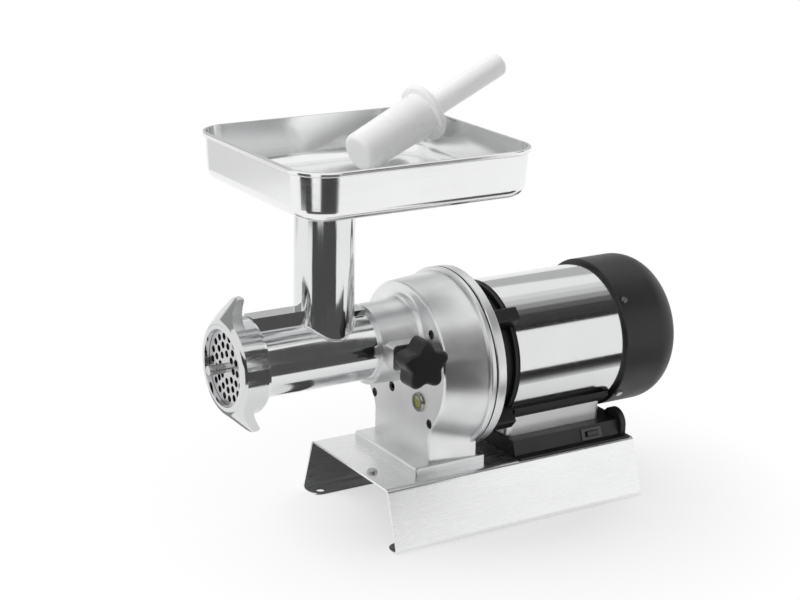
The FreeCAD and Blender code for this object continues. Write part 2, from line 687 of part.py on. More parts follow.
def case_gasket():
    ring = tube(FLANGE_RADIUS, CASE_REAR_RADIUS - CASE_WALL, CASE_DEPTH, COVER_START)
    holes = [rod(CASE_SCREW_RADIUS + BODY_GAP, CASE_DEPTH - OVER, COVER_START + OVER, x, z)
             for x, z in CASE_SCREW_PLACES]
    rim = rod(CASE_REAR_RADIUS, CASE_DEPTH, COVER_START)
    columns = [column.common(rim) for column in screw_columns(CASE_DEPTH, COVER_START)]
    return joined(ring, *columns).cut(holes)


def case_cover():
    disc = rod(FLANGE_RADIUS, COVER_START, COVER_END)
    disc = rounded(disc, FLANGE_EDGE, lambda edge: is_circle(edge, FLANGE_RADIUS))
    seat_end = COVER_START + SMALL_BEARING_WIDTH
    cuts = [
        rod(TAIL_BEARING_RADIUS + SEAT_FIT, COVER_START - OVER, seat_end, z=HEAD_Z),
        rod(LAY_BEARING_RADIUS + SEAT_FIT, COVER_START - OVER, seat_end, LAY_X, LAY_Z),
        rod(SHAFT_SEAL_RADIUS + SEAT_FIT, COVER_START - OVER, seat_end),
        rod(SHAFT_RADIUS + BODY_GAP, seat_end - OVER, COVER_END + OVER),
    ]
    cuts += [rod(CASE_SCREW_RADIUS + SEAT_FIT, COVER_START - OVER, COVER_END - OVER, x, z)
             for x, z in CASE_SCREW_PLACES]
    return disc.cut(cuts)


def case_screws():
    screws = []
    for x, z in CASE_SCREW_PLACES:
        shoulder = CASE_SCREW_RECESS + CASE_SCREW_HEAD_LENGTH
        head = rod(CASE_SCREW_HEAD, CASE_SCREW_RECESS, shoulder, x, z)
        shank = rod(CASE_SCREW_RADIUS, shoulder - OVER, COVER_END - 2 * OVER, x, z)
        socket = rod(CASE_SCREW_HEAD / 2, CASE_SCREW_RECESS - OVER,
                     CASE_SCREW_RECESS + CASE_SCREW_HEAD_LENGTH / 2, x, z)
        screws.append(joined(head, shank).cut(socket))
    return Part.makeCompound(screws)


def oil_plug():
    plug = rod(OIL_PLUG_RADIUS, OVER, FACE_WALL, OIL_PLUG_X, OIL_Z)
    return plug.cut(rod(OIL_PLUG_RADIUS / 2, 0.0, FACE_WALL / 2, OIL_PLUG_X, OIL_Z))


def sight_glass_ring():
    ring = turned([(GLASS_LENS_RADIUS + SEAT_FIT, -GLASS_FLANGE), (GLASS_FLANGE_RADIUS - OVER, -GLASS_FLANGE),
                   (GLASS_FLANGE_RADIUS, OVER - GLASS_FLANGE), (GLASS_FLANGE_RADIUS, 0.0),
                   (GLASS_BODY_RADIUS, 0.0), (GLASS_BODY_RADIUS, FACE_WALL),
                   (GLASS_LENS_RADIUS + SEAT_FIT, FACE_WALL)], OIL_GLASS_X, OIL_Z)
    return ring


def sight_glass_lens():
    return rod(GLASS_LENS_RADIUS, OVER - GLASS_FLANGE, FACE_WALL, OIL_GLASS_X, OIL_Z)


def foot_bolts():
    bolts = []
    under = BASE_HEIGHT - SHEET
    for x, y in FOOT_BOLT_PLACES:
        head = hexagon_prism(BOLT_HEAD_RADIUS, x, y, under - BOLT_HEAD_HEIGHT, under)
        bolts.append(joined(head, post(FOOT_BOLT_RADIUS, x, y, under, BASE_HEIGHT + FOOT_BOLT_DEPTH)))
    return Part.makeCompound(bolts)


# Gear train
FIRST_LINE = math.atan2(LAY_Z - MOTOR_Z, LAY_X)
SECOND_LINE = math.atan2(HEAD_Z - LAY_Z, -LAY_X)
LAY_PINION_START = OUTPUT_GEAR_START - (LAY_PINION_WIDTH - OUTPUT_GEAR_WIDTH) / 2
PINION_START = LAY_GEAR_START - (PINION_WIDTH - LAY_GEAR_WIDTH) / 2
TAIL_END = COVER_START + SMALL_BEARING_WIDTH


def output_bearings():
    return Part.makeCompound([
        bearing(FRONT_BEARING_RADIUS, OUTPUT_RADIUS + RUN_FIT, FRONT_BEARING_START,
                FRONT_BEARING_WIDTH, z=HEAD_Z),
        bearing(TAIL_BEARING_RADIUS, OUTPUT_TAIL_RADIUS + RUN_FIT, COVER_START,
                SMALL_BEARING_WIDTH, z=HEAD_Z)])


def lay_bearings():
    return Part.makeCompound([
        bearing(LAY_BEARING_RADIUS, LAY_JOURNAL_RADIUS + RUN_FIT, start, SMALL_BEARING_WIDTH, LAY_X, LAY_Z)
        for start in (LAY_BEARING_START, COVER_START)])


def output_seal():
    return bearing(SEAL_RADIUS, OUTPUT_RADIUS + RUN_FIT, -COLLAR_FLOOR, SEAL_WIDTH, z=HEAD_Z)


def shaft_seal():
    return tube(SHAFT_SEAL_RADIUS, SHAFT_RADIUS + RUN_FIT, COVER_START, TAIL_END)


def output_gear():
    wheel = gear(SECOND_MODULE, SECOND_GEAR_TEETH, OUTPUT_GEAR_START, OUTPUT_GEAR_WIDTH, 0.0, HEAD_Z,
                 SECOND_LINE + math.pi + math.pi / SECOND_GEAR_TEETH)
    return wheel.cut(rod(OUTPUT_GEAR_BORE + SEAT_FIT, OUTPUT_GEAR_START - OVER,
                         OUTPUT_GEAR_START + OUTPUT_GEAR_WIDTH + OVER, z=HEAD_Z))


def output_shaft():
    gear_end = OUTPUT_GEAR_START + OUTPUT_GEAR_WIDTH
    shaft = turned([(0, -SOCKET_NOSE), (OUTPUT_RADIUS, -SOCKET_NOSE), (OUTPUT_RADIUS, OUTPUT_GEAR_START),
                    (OUTPUT_GEAR_BORE, OUTPUT_GEAR_START), (OUTPUT_GEAR_BORE, gear_end),
                    (OUTPUT_TAIL_RADIUS, gear_end), (OUTPUT_TAIL_RADIUS, TAIL_END - OVER),
                    (0, TAIL_END - OVER)], z=HEAD_Z)
    half = DRIVE_SQUARE / 2 + BODY_GAP
    socket = box(-half, half, -SOCKET_NOSE - OVER, SOCKET_END, HEAD_Z - half, HEAD_Z + half)
    return shaft.cut(socket)


def lay_gear():
    wheel = gear(FIRST_MODULE, FIRST_GEAR_TEETH, LAY_GEAR_START, LAY_GEAR_WIDTH, LAY_X, LAY_Z,
                 FIRST_LINE + math.pi + math.pi / FIRST_GEAR_TEETH)
    return wheel.cut(rod(LAY_RADIUS + SEAT_FIT, LAY_GEAR_START - OVER,
                         LAY_GEAR_START + LAY_GEAR_WIDTH + OVER, LAY_X, LAY_Z))


def lay_shaft():
    front = LAY_BEARING_START + SMALL_BEARING_WIDTH
    gear_end = LAY_GEAR_START + LAY_GEAR_WIDTH
    shaft = turned([(0, LAY_BEARING_START + OVER), (LAY_JOURNAL_RADIUS, LAY_BEARING_START + OVER),
                    (LAY_JOURNAL_RADIUS, front), (LAY_RADIUS, front), (LAY_RADIUS, gear_end),
                    (LAY_JOURNAL_RADIUS, gear_end), (LAY_JOURNAL_RADIUS, TAIL_END - OVER),
                    (0, TAIL_END - OVER)], LAY_X, LAY_Z)
    pinion = gear(SECOND_MODULE, SECOND_PINION_TEETH, LAY_PINION_START, LAY_PINION_WIDTH,
                  LAY_X, LAY_Z, SECOND_LINE)
    return shaft.fuse(pinion)


def motor_pinion():
    wheel = gear(FIRST_MODULE, FIRST_PINION_TEETH, PINION_START, PINION_WIDTH, 0.0, MOTOR_Z, FIRST_LINE)
    return wheel.cut(rod(PINION_BORE + SEAT_FIT, PINION_START - OVER, PINION_START + PINION_WIDTH + OVER))


# Motor
SHIELD_RADIUS = SLEEVE_BORE - SEAT_FIT
DRUM_END = SLEEVE_START - SHIELD_BAND
FRONT_SEAT = DRUM_END
FRONT_SEAT_END = FRONT_SEAT + MOTOR_BEARING_WIDTH
REAR_SEAT_END = SLEEVE_END - SHIELD_LIP / 2
REAR_SEAT = REAR_SEAT_END - REAR_BEARING_WIDTH
COVER_BORE = COVER_RADIUS - COVER_WALL
SHAFT_END = FAN_START + FAN_DISC + FAN_BLADE_HEIGHT


def motor_front_shield():
    """Bell between the gear case and the motor: open drum, bearing web, and a rim inside the sleeve."""
    inner = DRUM_RADIUS - SHIELD_RIM_WALL
    web = DRUM_END - SHIELD_LIP
    web_end = web + SHIELD_WEB
    hub = MOTOR_BEARING_RADIUS + HUB_WALL
    seat = MOTOR_BEARING_RADIUS + SEAT_FIT
    rim_inner = SHIELD_RADIUS - SHIELD_RIM_WALL
    rim_end = SLEEVE_START + SHIELD_RIM
    hole = SHAFT_RADIUS + BODY_GAP
    return turned([(inner, COVER_END), (DRUM_RADIUS, COVER_END), (DRUM_RADIUS, DRUM_END),
                   (SHIELD_RADIUS, DRUM_END), (SHIELD_RADIUS, rim_end), (rim_inner, rim_end),
                   (rim_inner, web_end), (hub, web_end), (hub, FRONT_SEAT_END), (seat, FRONT_SEAT_END),
                   (seat, FRONT_SEAT), (hole, FRONT_SEAT), (hole, web), (inner, web)])


def motor_lugs():
    """Four blocks that tie the drum to the gear case cover."""
    end = SLEEVE_START - BODY_GAP
    block = box(DRUM_RADIUS / 2, LUG_OUTER, COVER_END, end,
                MOTOR_Z - LUG_HALF_WIDTH, MOTOR_Z + LUG_HALF_WIDTH)
    block = block.cut(rod(DRUM_RADIUS, COVER_END - OVER, DRUM_END + OVER))
    block = block.cut(rod(SLEEVE_BORE, DRUM_END, end + OVER))
    block = rounded(block, LUG_ROUND,
                    lambda edge: is_straight(edge, AXIS_Y) and edge.CenterOfMass.x > LUG_OUTER - OVER)
    return Part.makeCompound([spun(block, angle) for angle in
                              (LUG_ANGLE, -LUG_ANGLE, 180 - LUG_ANGLE, 180 + LUG_ANGLE)])


def motor_sleeve():
    return tube(SLEEVE_RADIUS, SLEEVE_BORE, SLEEVE_START, SLEEVE_END)


def motor_bearings():
    return Part.makeCompound([
        bearing(MOTOR_BEARING_RADIUS, SHAFT_RADIUS + RUN_FIT, FRONT_SEAT, MOTOR_BEARING_WIDTH),
        bearing(REAR_BEARING_RADIUS, TAIL_SHAFT_RADIUS + RUN_FIT, REAR_SEAT, REAR_BEARING_WIDTH)])


def stator_core():
    return tube(SHIELD_RADIUS, STATOR_BORE, STATOR_START, STATOR_START + STATOR_LENGTH)


def stator_windings():
    coils = []
    for start in (STATOR_START - WINDING_LENGTH, STATOR_START + STATOR_LENGTH):
        coil = tube(WINDING_OUTER, WINDING_INNER, start, start + WINDING_LENGTH)
        middle = FACE_Y + STATOR_START + STATOR_LENGTH / 2
        far = WINDING_LENGTH / 2 + STATOR_LENGTH / 2
        coils.append(rounded(coil, WINDING_LENGTH / 3,
                             lambda edge: abs(edge.CenterOfMass.y - middle) > far
                             and not is_straight(edge, AXIS_Y)))
    return Part.makeCompound(coils)


COVER_SCREW_Y = SLEEVE_END + COVER_SCREW_INSET
COVER_SCREW_ANGLES = (COVER_SCREW_ANGLE, -COVER_SCREW_ANGLE,
                      180 - COVER_SCREW_ANGLE, 180 + COVER_SCREW_ANGLE)


def cover_screw_holes():
    hole = peg(COVER_SCREW_RADIUS + SEAT_FIT, COVER_RADIUS / 2, COVER_RADIUS + OVER, COVER_SCREW_Y, MOTOR_Z)
    return [spun(hole, angle) for angle in COVER_SCREW_ANGLES]


def motor_rear_shield():
    hub = REAR_BEARING_RADIUS + HUB_WALL
    seat = REAR_BEARING_RADIUS + SEAT_FIT
    hole = TAIL_SHAFT_RADIUS + BODY_GAP
    web = SLEEVE_END - COVER_SEAT
    rim = SLEEVE_END - SHIELD_RIM
    rim_inner = SHIELD_RADIUS - SHIELD_RIM_WALL
    step = COVER_BORE - SEAT_FIT
    end = SLEEVE_END + COVER_SEAT
    shield = turned([(seat, REAR_SEAT), (hub, REAR_SEAT), (hub, web), (rim_inner, web), (rim_inner, rim),
                     (SHIELD_RADIUS, rim), (SHIELD_RADIUS, SLEEVE_END), (step, SLEEVE_END), (step, end),
                     (step - SHIELD_RIM_WALL, end), (step - SHIELD_RIM_WALL, SLEEVE_END),
                     (hole, SLEEVE_END), (hole, REAR_SEAT_END), (seat, REAR_SEAT_END)])
    return shield.cut(cover_screw_holes())


def rotor_shaft():
    pinion_end = PINION_START + PINION_WIDTH
    return turned([(0, PINION_START), (PINION_BORE, PINION_START), (PINION_BORE, pinion_end),
                   (SHAFT_RADIUS, pinion_end), (SHAFT_RADIUS, FRONT_SEAT_END),
                   (ROTOR_SHAFT_RADIUS, FRONT_SEAT_END), (ROTOR_SHAFT_RADIUS, REAR_SEAT),
                   (TAIL_SHAFT_RADIUS, REAR_SEAT), (TAIL_SHAFT_RADIUS, SHAFT_END), (0, SHAFT_END)])


def rotor_core():
    end = STATOR_START + STATOR_LENGTH
    radius = STATOR_BORE - AIR_GAP
    bore = ROTOR_SHAFT_RADIUS + SEAT_FIT
    return turned([(bore, STATOR_START), (radius - 2 * END_RING, STATOR_START),
                   (radius - 2 * END_RING, STATOR_START - END_RING), (radius - OVER, STATOR_START - END_RING),
                   (radius - OVER, STATOR_START), (radius, STATOR_START), (radius, end),
                   (radius - OVER, end), (radius - OVER, end + END_RING),
                   (radius - 2 * END_RING, end + END_RING), (radius - 2 * END_RING, end), (bore, end)])


def cooling_fan():
    disc = rod(FAN_RADIUS, FAN_START, FAN_START + FAN_DISC)
    hub = rod(FAN_HUB, FAN_START, SHAFT_END)
    blade = box(FAN_HUB / 2, FAN_RADIUS, FAN_START, SHAFT_END, MOTOR_Z - FAN_BLADE_THICKNESS / 2,
                MOTOR_Z + FAN_BLADE_THICKNESS / 2)
    blades = [spun(blade, index * 360 / FAN_BLADES) for index in range(FAN_BLADES)]
    bore = rod(TAIL_SHAFT_RADIUS + SEAT_FIT, FAN_START - OVER, SHAFT_END + OVER)
    return joined(disc, hub, *blades).common(rod(FAN_RADIUS, FAN_START, SHAFT_END)).cut(bore)


def cover_dome(inset):
    """Cup with a round shoulder, drawn in by the inset."""
    radius = COVER_RADIUS - inset
    corner = COVER_CORNER - inset
    end = FACE_Y + SLEEVE_END + COVER_LENGTH - inset
    start = FACE_Y + SLEEVE_END
    knee = corner * math.sqrt(0.5)
    points = [vec(0, start, 0), vec(radius, start, 0), vec(radius, end - corner, 0),
              vec(radius - corner + knee, end - corner + knee, 0), vec(radius - corner, end, 0),
              vec(0, end, 0)]
    edges = [Part.LineSegment(points[0], points[1]).toShape(),
             Part.LineSegment(points[1], points[2]).toShape(),
             Part.Arc(points[2], points[3], points[4]).toShape(),
             Part.LineSegment(points[4], points[5]).toShape(),
             Part.LineSegment(points[5], points[0]).toShape()]
    dome = Part.Face(Part.Wire(edges)).revolve(vec(0, 0, 0), AXIS_Y, 360)
    dome.translate(vec(0, 0, MOTOR_Z))
    return dome


def fan_cover():
    end = SLEEVE_END + COVER_LENGTH
    slot = box(COVER_SLOT_INNER, COVER_SLOT_OUTER, end - COVER_WALL - OVER, end + OVER,
               MOTOR_Z - COVER_SLOT_WIDTH / 2, MOTOR_Z + COVER_SLOT_WIDTH / 2)
    slots = [spun(slot, index * 360 / COVER_SLOTS) for index in range(COVER_SLOTS)]
    return cover_dome(0.0).cut(cover_dome(COVER_WALL)).cut(slots + cover_screw_holes())


def fan_cover_screws():
    head = peg(COVER_SCREW_HEAD, COVER_RADIUS, COVER_RADIUS + COVER_SCREW_HEAD_HEIGHT,
               COVER_SCREW_Y, MOTOR_Z)
    shank = peg(COVER_SCREW_RADIUS, COVER_RADIUS - COVER_SCREW_LENGTH, COVER_RADIUS,
                COVER_SCREW_Y, MOTOR_Z)
    screw = joined(head, shank)
    return Part.makeCompound([spun(screw, angle) for angle in COVER_SCREW_ANGLES])


# Motor saddle, plinth and switch
def motor_saddle():
    end = SADDLE_START + SADDLE_LENGTH
    block = box(-SADDLE_HALF, SADDLE_HALF, SADDLE_START, end, PLINTH_TOP_Z, SADDLE_TOP)
    block = rounded(block, SADDLE_CORNER, lambda edge: is_straight(edge, AXIS_Z))
    return block.cut(rod(SLEEVE_RADIUS + PAD_THICKNESS, SADDLE_START - OVER, end + OVER))


def saddle_pad():
    start = SLEEVE_START + PAD_FRONT_INSET
    end = SLEEVE_END - PAD_REAR_INSET
    ring = tube(SLEEVE_RADIUS + PAD_THICKNESS - SEAT_FIT, SLEEVE_RADIUS + SEAT_FIT, start, end)
    return ring.common(box(-PAD_HALF, PAD_HALF, start, end, BASE_HEIGHT, MOTOR_Z))


def plinth_block(inset):
    lean = (PLINTH_FOOT_HALF - PLINTH_TOP_HALF) / PLINTH_HEIGHT
    low = BASE_HEIGHT - OVER if inset else BASE_HEIGHT
    high = PLINTH_TOP_Z - inset
    shift = inset * math.sqrt(1 + lean ** 2)
    corners = [(PLINTH_FOOT_HALF - lean * (z - BASE_HEIGHT) - shift, z) for z in (low, high)]
    outline = corners + [(-x, z) for x, z in reversed(corners)]
    points = [vec(x, FACE_Y + PLINTH_START + inset, z) for x, z in outline]
    return Part.Face(Part.makePolygon(points + points[:1])).extrude(vec(0, PLINTH_LENGTH - 2 * inset, 0))


def on_plinth_wall(shape):
    """Moves a shape drawn about the origin, with +X outwards, onto the middle of the +X wall."""
    lean = math.degrees(math.atan2(PLINTH_FOOT_HALF - PLINTH_TOP_HALF, PLINTH_HEIGHT))
    placed = shape.copy()
    placed.rotate(vec(0, 0, 0), AXIS_Y, -lean)
    placed.translate(vec((PLINTH_FOOT_HALF + PLINTH_TOP_HALF) / 2, FACE_Y + PLINTH_START + SWITCH_PLACE,
                         BASE_HEIGHT + PLINTH_HEIGHT / 2))
    return placed


def switch_block(x0, x1, length, height):
    return Part.makeBox(x1 - x0, length, height, vec(x0, -length / 2, -height / 2))


SWITCH_BODY_LENGTH = SWITCH_LENGTH - 2 * SWITCH_PLATE
SWITCH_BODY_HEIGHT = SWITCH_HEIGHT - 2 * SWITCH_PLATE
PIVOT_LENGTH = ROCKER_HEIGHT + ROCKER_GAP + 2 * OVER


def motor_plinth():
    end = PLINTH_START + PLINTH_LENGTH
    flange = box(-PLINTH_FLANGE_HALF, PLINTH_FLANGE_HALF, PLINTH_START, end, BASE_HEIGHT,
                 BASE_HEIGHT + PLINTH_WALL)
    ear_z = PLINTH_TOP_Z + EAR_RISE - EAR_RADIUS
    ear_sides = box(EAR_X - EAR_RADIUS, EAR_X + EAR_RADIUS, end - EAR_THICKNESS, end, BASE_HEIGHT, ear_z)
    ear_top = rod(EAR_RADIUS, end - EAR_THICKNESS, end, EAR_X, ear_z)
    ear_top = ear_top.cut(box(0.0, PLINTH_FLANGE_HALF, end - EAR_THICKNESS, end, 0.0, BASE_HEIGHT))
    ear = joined(ear_top, ear_sides)
    shell = joined(plinth_block(0.0), flange).cut(plinth_block(PLINTH_WALL))
    bosses = [post(PLINTH_BOSS_RADIUS, x, y, BASE_HEIGHT, PLINTH_TOP_Z - OVER)
              for x, y in PLINTH_SCREW_PLACES]
    holes = [post(PLINTH_SCREW_RADIUS + SEAT_FIT, x, y, BASE_HEIGHT - OVER,
                  BASE_HEIGHT + PLINTH_SCREW_DEPTH + OVER) for x, y in PLINTH_SCREW_PLACES]
    window = on_plinth_wall(switch_block(-SWITCH_DEPTH, OVER, SWITCH_BODY_LENGTH + SEAT_FIT,
                                         SWITCH_BODY_HEIGHT + SEAT_FIT))
    return joined(shell, ear, *bosses).cut(holes + [window])


def plinth_screws():
    screws = []
    under = BASE_HEIGHT - SHEET
    for x, y in PLINTH_SCREW_PLACES:
        head = post(2 * PLINTH_SCREW_RADIUS, x, y, under - PLINTH_SCREW_RADIUS, under)
        screws.append(joined(head, post(PLINTH_SCREW_RADIUS, x, y, under, BASE_HEIGHT + PLINTH_SCREW_DEPTH)))
    return Part.makeCompound(screws)


def run_capacitor():
    length, width, height = CAPACITOR_SIZE
    block = box(-width / 2, width / 2, CAPACITOR_START, CAPACITOR_START + length, BASE_HEIGHT,
                BASE_HEIGHT + height)
    return rounded(block, 2 * OVER, lambda edge: is_straight(edge, AXIS_Z))


def switch_pivot(extra, length):
    return Part.makeCylinder(ROCKER_PIVOT_RADIUS + extra, length,
                             vec(-ROCKER_PIVOT_DEPTH, 0, -length / 2), AXIS_Z)


def switch_body():
    plate = switch_block(0.0, SWITCH_PLATE, SWITCH_LENGTH, SWITCH_HEIGHT)
    case = switch_block(-SWITCH_DEPTH, 0.0, SWITCH_BODY_LENGTH, SWITCH_BODY_HEIGHT)
    well = switch_block(-ROCKER_DEPTH - 2 * OVER, SWITCH_PLATE + OVER, ROCKER_LENGTH + 2 * ROCKER_GAP,
                        ROCKER_HEIGHT + ROCKER_GAP)
    return on_plinth_wall(joined(plate, case).cut([well, switch_pivot(RUN_FIT, PIVOT_LENGTH + BODY_GAP)]))


def switch_rocker():
    key = switch_block(-ROCKER_DEPTH, ROCKER_RISE, ROCKER_LENGTH, ROCKER_HEIGHT)
    key = rounded(key, OVER / 2, lambda edge: edge.CenterOfMass.x > ROCKER_RISE - OVER / 2)
    key = joined(key, switch_pivot(0.0, PIVOT_LENGTH))
    key.rotate(vec(-ROCKER_PIVOT_DEPTH, 0, 0), AXIS_Z, ROCKER_TILT)
    return on_plinth_wall(key)


# Grinder head
def barrel_outside():
    flange_back = HEAD_FLANGE_LENGTH - HEAD_FRONT
    return turned([(0, -HEAD_FRONT), (THREAD_RADIUS, -HEAD_FRONT), (THREAD_RADIUS, flange_back),
                   (BARREL_RADIUS, flange_back + HEAD_FLANGE_CONE), (BARREL_RADIUS, -BARREL_TAIL),
                   (0, -BARREL_TAIL)], z=HEAD_Z)


def head_casting():
    """Barrel with its two top ribs, still solid."""
    front_rib = box(-RIB_HALF, RIB_HALF, -RIB_FRONT_END, -NECK_FROM_FACE, HEAD_Z, HEAD_Z + RIB_TOP)
    rear_rib = box(-RIB_HALF, RIB_HALF, -NECK_FROM_FACE, -RIB_REAR_END, HEAD_Z, HEAD_Z + RIB_REAR_TOP)
    return joined(barrel_outside(), front_rib, rear_rib)


def feed_neck():
    """Tube welded on the barrel, its foot cut to the barrel's round and notched for the ribs."""
    outside = post(NECK_RADIUS, 0.0, -NECK_FROM_FACE, HEAD_Z, NECK_TOP)
    bore = post(NECK_BORE, 0.0, -NECK_FROM_FACE, HEAD_Z, NECK_TOP + OVER)
    return outside.cut([bore, head_casting()])


def grinder_body():
    bush_end = BUSH_LENGTH - BUSH_START
    cuts = [
        rod(BARREL_BORE, -CHAMBER_BACK - OVER, -BUSH_START, z=HEAD_Z),
        rod(PLATE_RADIUS + SEAT_FIT, -HEAD_FRONT - OVER, -CHAMBER_BACK, z=HEAD_Z),
        rod(BUSH_RADIUS + SEAT_FIT, -BUSH_START - OVER, bush_end + OVER, z=HEAD_Z),
        rod(TAIL_RECESS_RADIUS, bush_end, -BARREL_TAIL + OVER, z=HEAD_Z),
        post(NECK_BORE, 0.0, -NECK_FROM_FACE, HEAD_Z, NECK_TOP),
        plate_pin(SEAT_FIT),
    ]
    return head_casting().cut(cuts)


def plate_pin(extra=0.0):
    """Key that stops the plate from turning, let into the wall of the front chamber."""
    return rod(PLATE_PIN_RADIUS + extra, -HEAD_FRONT, -HEAD_FRONT + PLATE_PIN_LENGTH,
               z=HEAD_Z + PLATE_RADIUS)


def rear_bush():
    return tube(BUSH_RADIUS, JOURNAL_RADIUS + RUN_FIT, -BUSH_START, BUSH_LENGTH - BUSH_START, z=HEAD_Z)


def square_bar(size, y0, y1):
    half = size / 2
    return box(-half, half, y0, y1, HEAD_Z - half, HEAD_Z + half)


def feed_auger():
    """Feed screw: core, helical flight, rear journal and drive square, front knife square and stud."""
    front = -PLATE_BACK + KNIFE_THICKNESS
    back = -BUSH_START - BODY_GAP
    helix = Part.makeHelix(AUGER_PITCH, back - AUGER_SHOULDER_LENGTH - front - AUGER_FLIGHT, AUGER_RADIUS)
    half = AUGER_FLIGHT / 2
    section = [vec(AUGER_CORE - OVER, 0, -half - OVER), vec(AUGER_RADIUS, 0, -half),
               vec(AUGER_RADIUS, 0, half), vec(AUGER_CORE - OVER, 0, half + OVER)]
    flight = Part.Wire(helix.Edges).makePipeShell([Part.makePolygon(section + section[:1])], True, True)
    flight.rotate(vec(0, 0, 0), AXIS_X, -90)
    flight.translate(vec(0, FACE_Y + front + half + OVER, HEAD_Z))
    journal_end = BUSH_LENGTH - BUSH_START
    screw = rod(AUGER_CORE, front, back, z=HEAD_Z).fuse(flight)
    shoulder = rod(AUGER_SHOULDER, back - AUGER_SHOULDER_LENGTH, back, z=HEAD_Z)
    journal = rod(JOURNAL_RADIUS, back - OVER, journal_end, z=HEAD_Z)
    stud = rod(STUD_RADIUS, -PLATE_FRONT - STUD_REACH, front, z=HEAD_Z)
    knife_seat = square_bar(KNIFE_SQUARE, -PLATE_BACK + BODY_GAP, front)
    drive = square_bar(DRIVE_SQUARE, journal_end, journal_end + DRIVE_LENGTH)
    return screw.fuse([shoulder, journal, stud, knife_seat, drive])


def cutting_knife():
    start = -PLATE_BACK + BODY_GAP
    end = -PLATE_BACK + KNIFE_THICKNESS
    hub = rod(KNIFE_HUB, start, end, z=HEAD_Z)
    low = HEAD_Z - KNIFE_BLADE_WIDTH / 4
    blade = box(0.0, KNIFE_RADIUS, start, end, low, low + KNIFE_BLADE_WIDTH)
    relief = Part.makeBox(2 * KNIFE_RADIUS, 2 * KNIFE_THICKNESS, KNIFE_BLADE_WIDTH, vec(0, FACE_Y + end, low))
    relief.rotate(vec(0, FACE_Y + end, low), AXIS_X, -KNIFE_RELIEF_ANGLE)
    blade = blade.cut(relief)
    blades = [spun(blade, index * 360 / KNIFE_BLADES, z=HEAD_Z) for index in range(KNIFE_BLADES)]
    square = square_bar(KNIFE_SQUARE + 2 * SEAT_FIT, start - OVER, end + OVER)
    return joined(hub, *blades).cut(square)


def grinder_plate():
    disc = rod(PLATE_RADIUS - RUN_FIT, -PLATE_FRONT, -PLATE_BACK, z=HEAD_Z)
    cuts = [rod(STUD_RADIUS + RUN_FIT, -PLATE_FRONT - OVER, -PLATE_BACK + OVER, z=HEAD_Z)]
    cuts.append(rod(PLATE_PIN_RADIUS + SLIDE_FIT, -PLATE_FRONT - OVER, -PLATE_BACK + OVER,
                    z=HEAD_Z + PLATE_RADIUS))
    for radius, count in PLATE_RINGS:
        for index in range(count):
            place = polar(radius, 2 * math.pi * index / count, 0.0, 0.0, HEAD_Z)
            cuts.append(rod(PLATE_HOLE_RADIUS, -PLATE_FRONT - OVER, -PLATE_BACK + OVER,
                            place.x, place.z))
    return disc.cut(cuts)


NUT_BACK_OF_LIP = -PLATE_FRONT - BODY_GAP
NUT_FRONT = NUT_BACK_OF_LIP - NUT_LIP


def wing_outline():
    """Front view of the nut: a circle that runs through concave arcs into two round tips."""
    ring = NUT_RADIUS
    tip = WING_TIP_RADIUS
    tip_z = WING_REACH - tip
    blend_z = ((ring + WING_BLEND) ** 2 - (tip + WING_BLEND) ** 2 + tip_z ** 2) / (2 * tip_z)
    blend_x = math.sqrt((ring + WING_BLEND) ** 2 - blend_z ** 2)
    ring_share = ring / (ring + WING_BLEND)
    ring_touch = (blend_x * ring_share, blend_z * ring_share)
    tip_share = tip / (tip + WING_BLEND)
    tip_touch = (blend_x * tip_share, tip_z + (blend_z - tip_z) * tip_share)
    towards = math.atan2((ring_touch[1] + tip_touch[1]) / 2 - blend_z,
                         (ring_touch[0] + tip_touch[0]) / 2 - blend_x)
    hollow = (blend_x + WING_BLEND * math.cos(towards), blend_z + WING_BLEND * math.sin(towards))
    plane = FACE_Y + NUT_FRONT - OVER

    def at(point, side, way):
        return vec(side * point[0], plane, HEAD_Z + way * point[1])

    edges = []
    for way in (1, -1):
        edges.append(Part.Arc(at(tip_touch, 1, way), at((0, WING_REACH), 1, way),
                              at(tip_touch, -1, way)).toShape())
        for side in (1, -1):
            edges.append(Part.Arc(at(ring_touch, side, way), at(hollow, side, way),
                                  at(tip_touch, side, way)).toShape())
    for side in (1, -1):
        edges.append(Part.Arc(at(ring_touch, side, 1), at((ring, 0), side, 1),
                              at(ring_touch, side, -1)).toShape())
    return Part.Wire(Part.__sortEdges__(edges))


def ring_nut():
    """Threaded ring with two ears: a conical flange cut to the winged outline."""
    back = NUT_FRONT + NUT_LENGTH
    tip_front = NUT_FRONT + WING_SWEEP
    crease = NUT_OPENING + NUT_FRONT_LAND
    flange = turned([(0, NUT_FRONT), (crease, NUT_FRONT), (WING_REACH, tip_front),
                     (WING_REACH, tip_front + WING_TIP_THICKNESS),
                     (NUT_RADIUS, NUT_FRONT + WING_ROOT_THICKNESS + WING_TIP_THICKNESS),
                     (NUT_RADIUS, back), (0, back)], z=HEAD_Z)
    flange = rounded(flange, NUT_FRONT_EDGE, lambda edge: is_circle(edge, crease))
    flange = rounded(flange, WING_EDGE, lambda edge: is_circle(edge, WING_REACH))
    outline = Part.Face(wing_outline()).extrude(vec(0, NUT_LENGTH + WING_SWEEP, 0))
    nut = flange.common(outline)
    nut = nut.cut([rod(NUT_OPENING, NUT_FRONT - OVER, back, z=HEAD_Z),
                   rod(NUT_BORE, NUT_BACK_OF_LIP, back + OVER, z=HEAD_Z)])
    return spun(nut, -NUT_TURN, z=HEAD_Z)


# Clamp
def clamp_pad():
    return peg(CLAMP_PAD_RADIUS, PAD_INNER, PAD_OUTER, -CLAMP_FROM_FACE, HEAD_Z)


def clamp_stud():
    return peg(CLAMP_STUD_RADIUS, PAD_OUTER, KNOB_START + KNOB_THICKNESS / 2, -CLAMP_FROM_FACE, HEAD_Z)


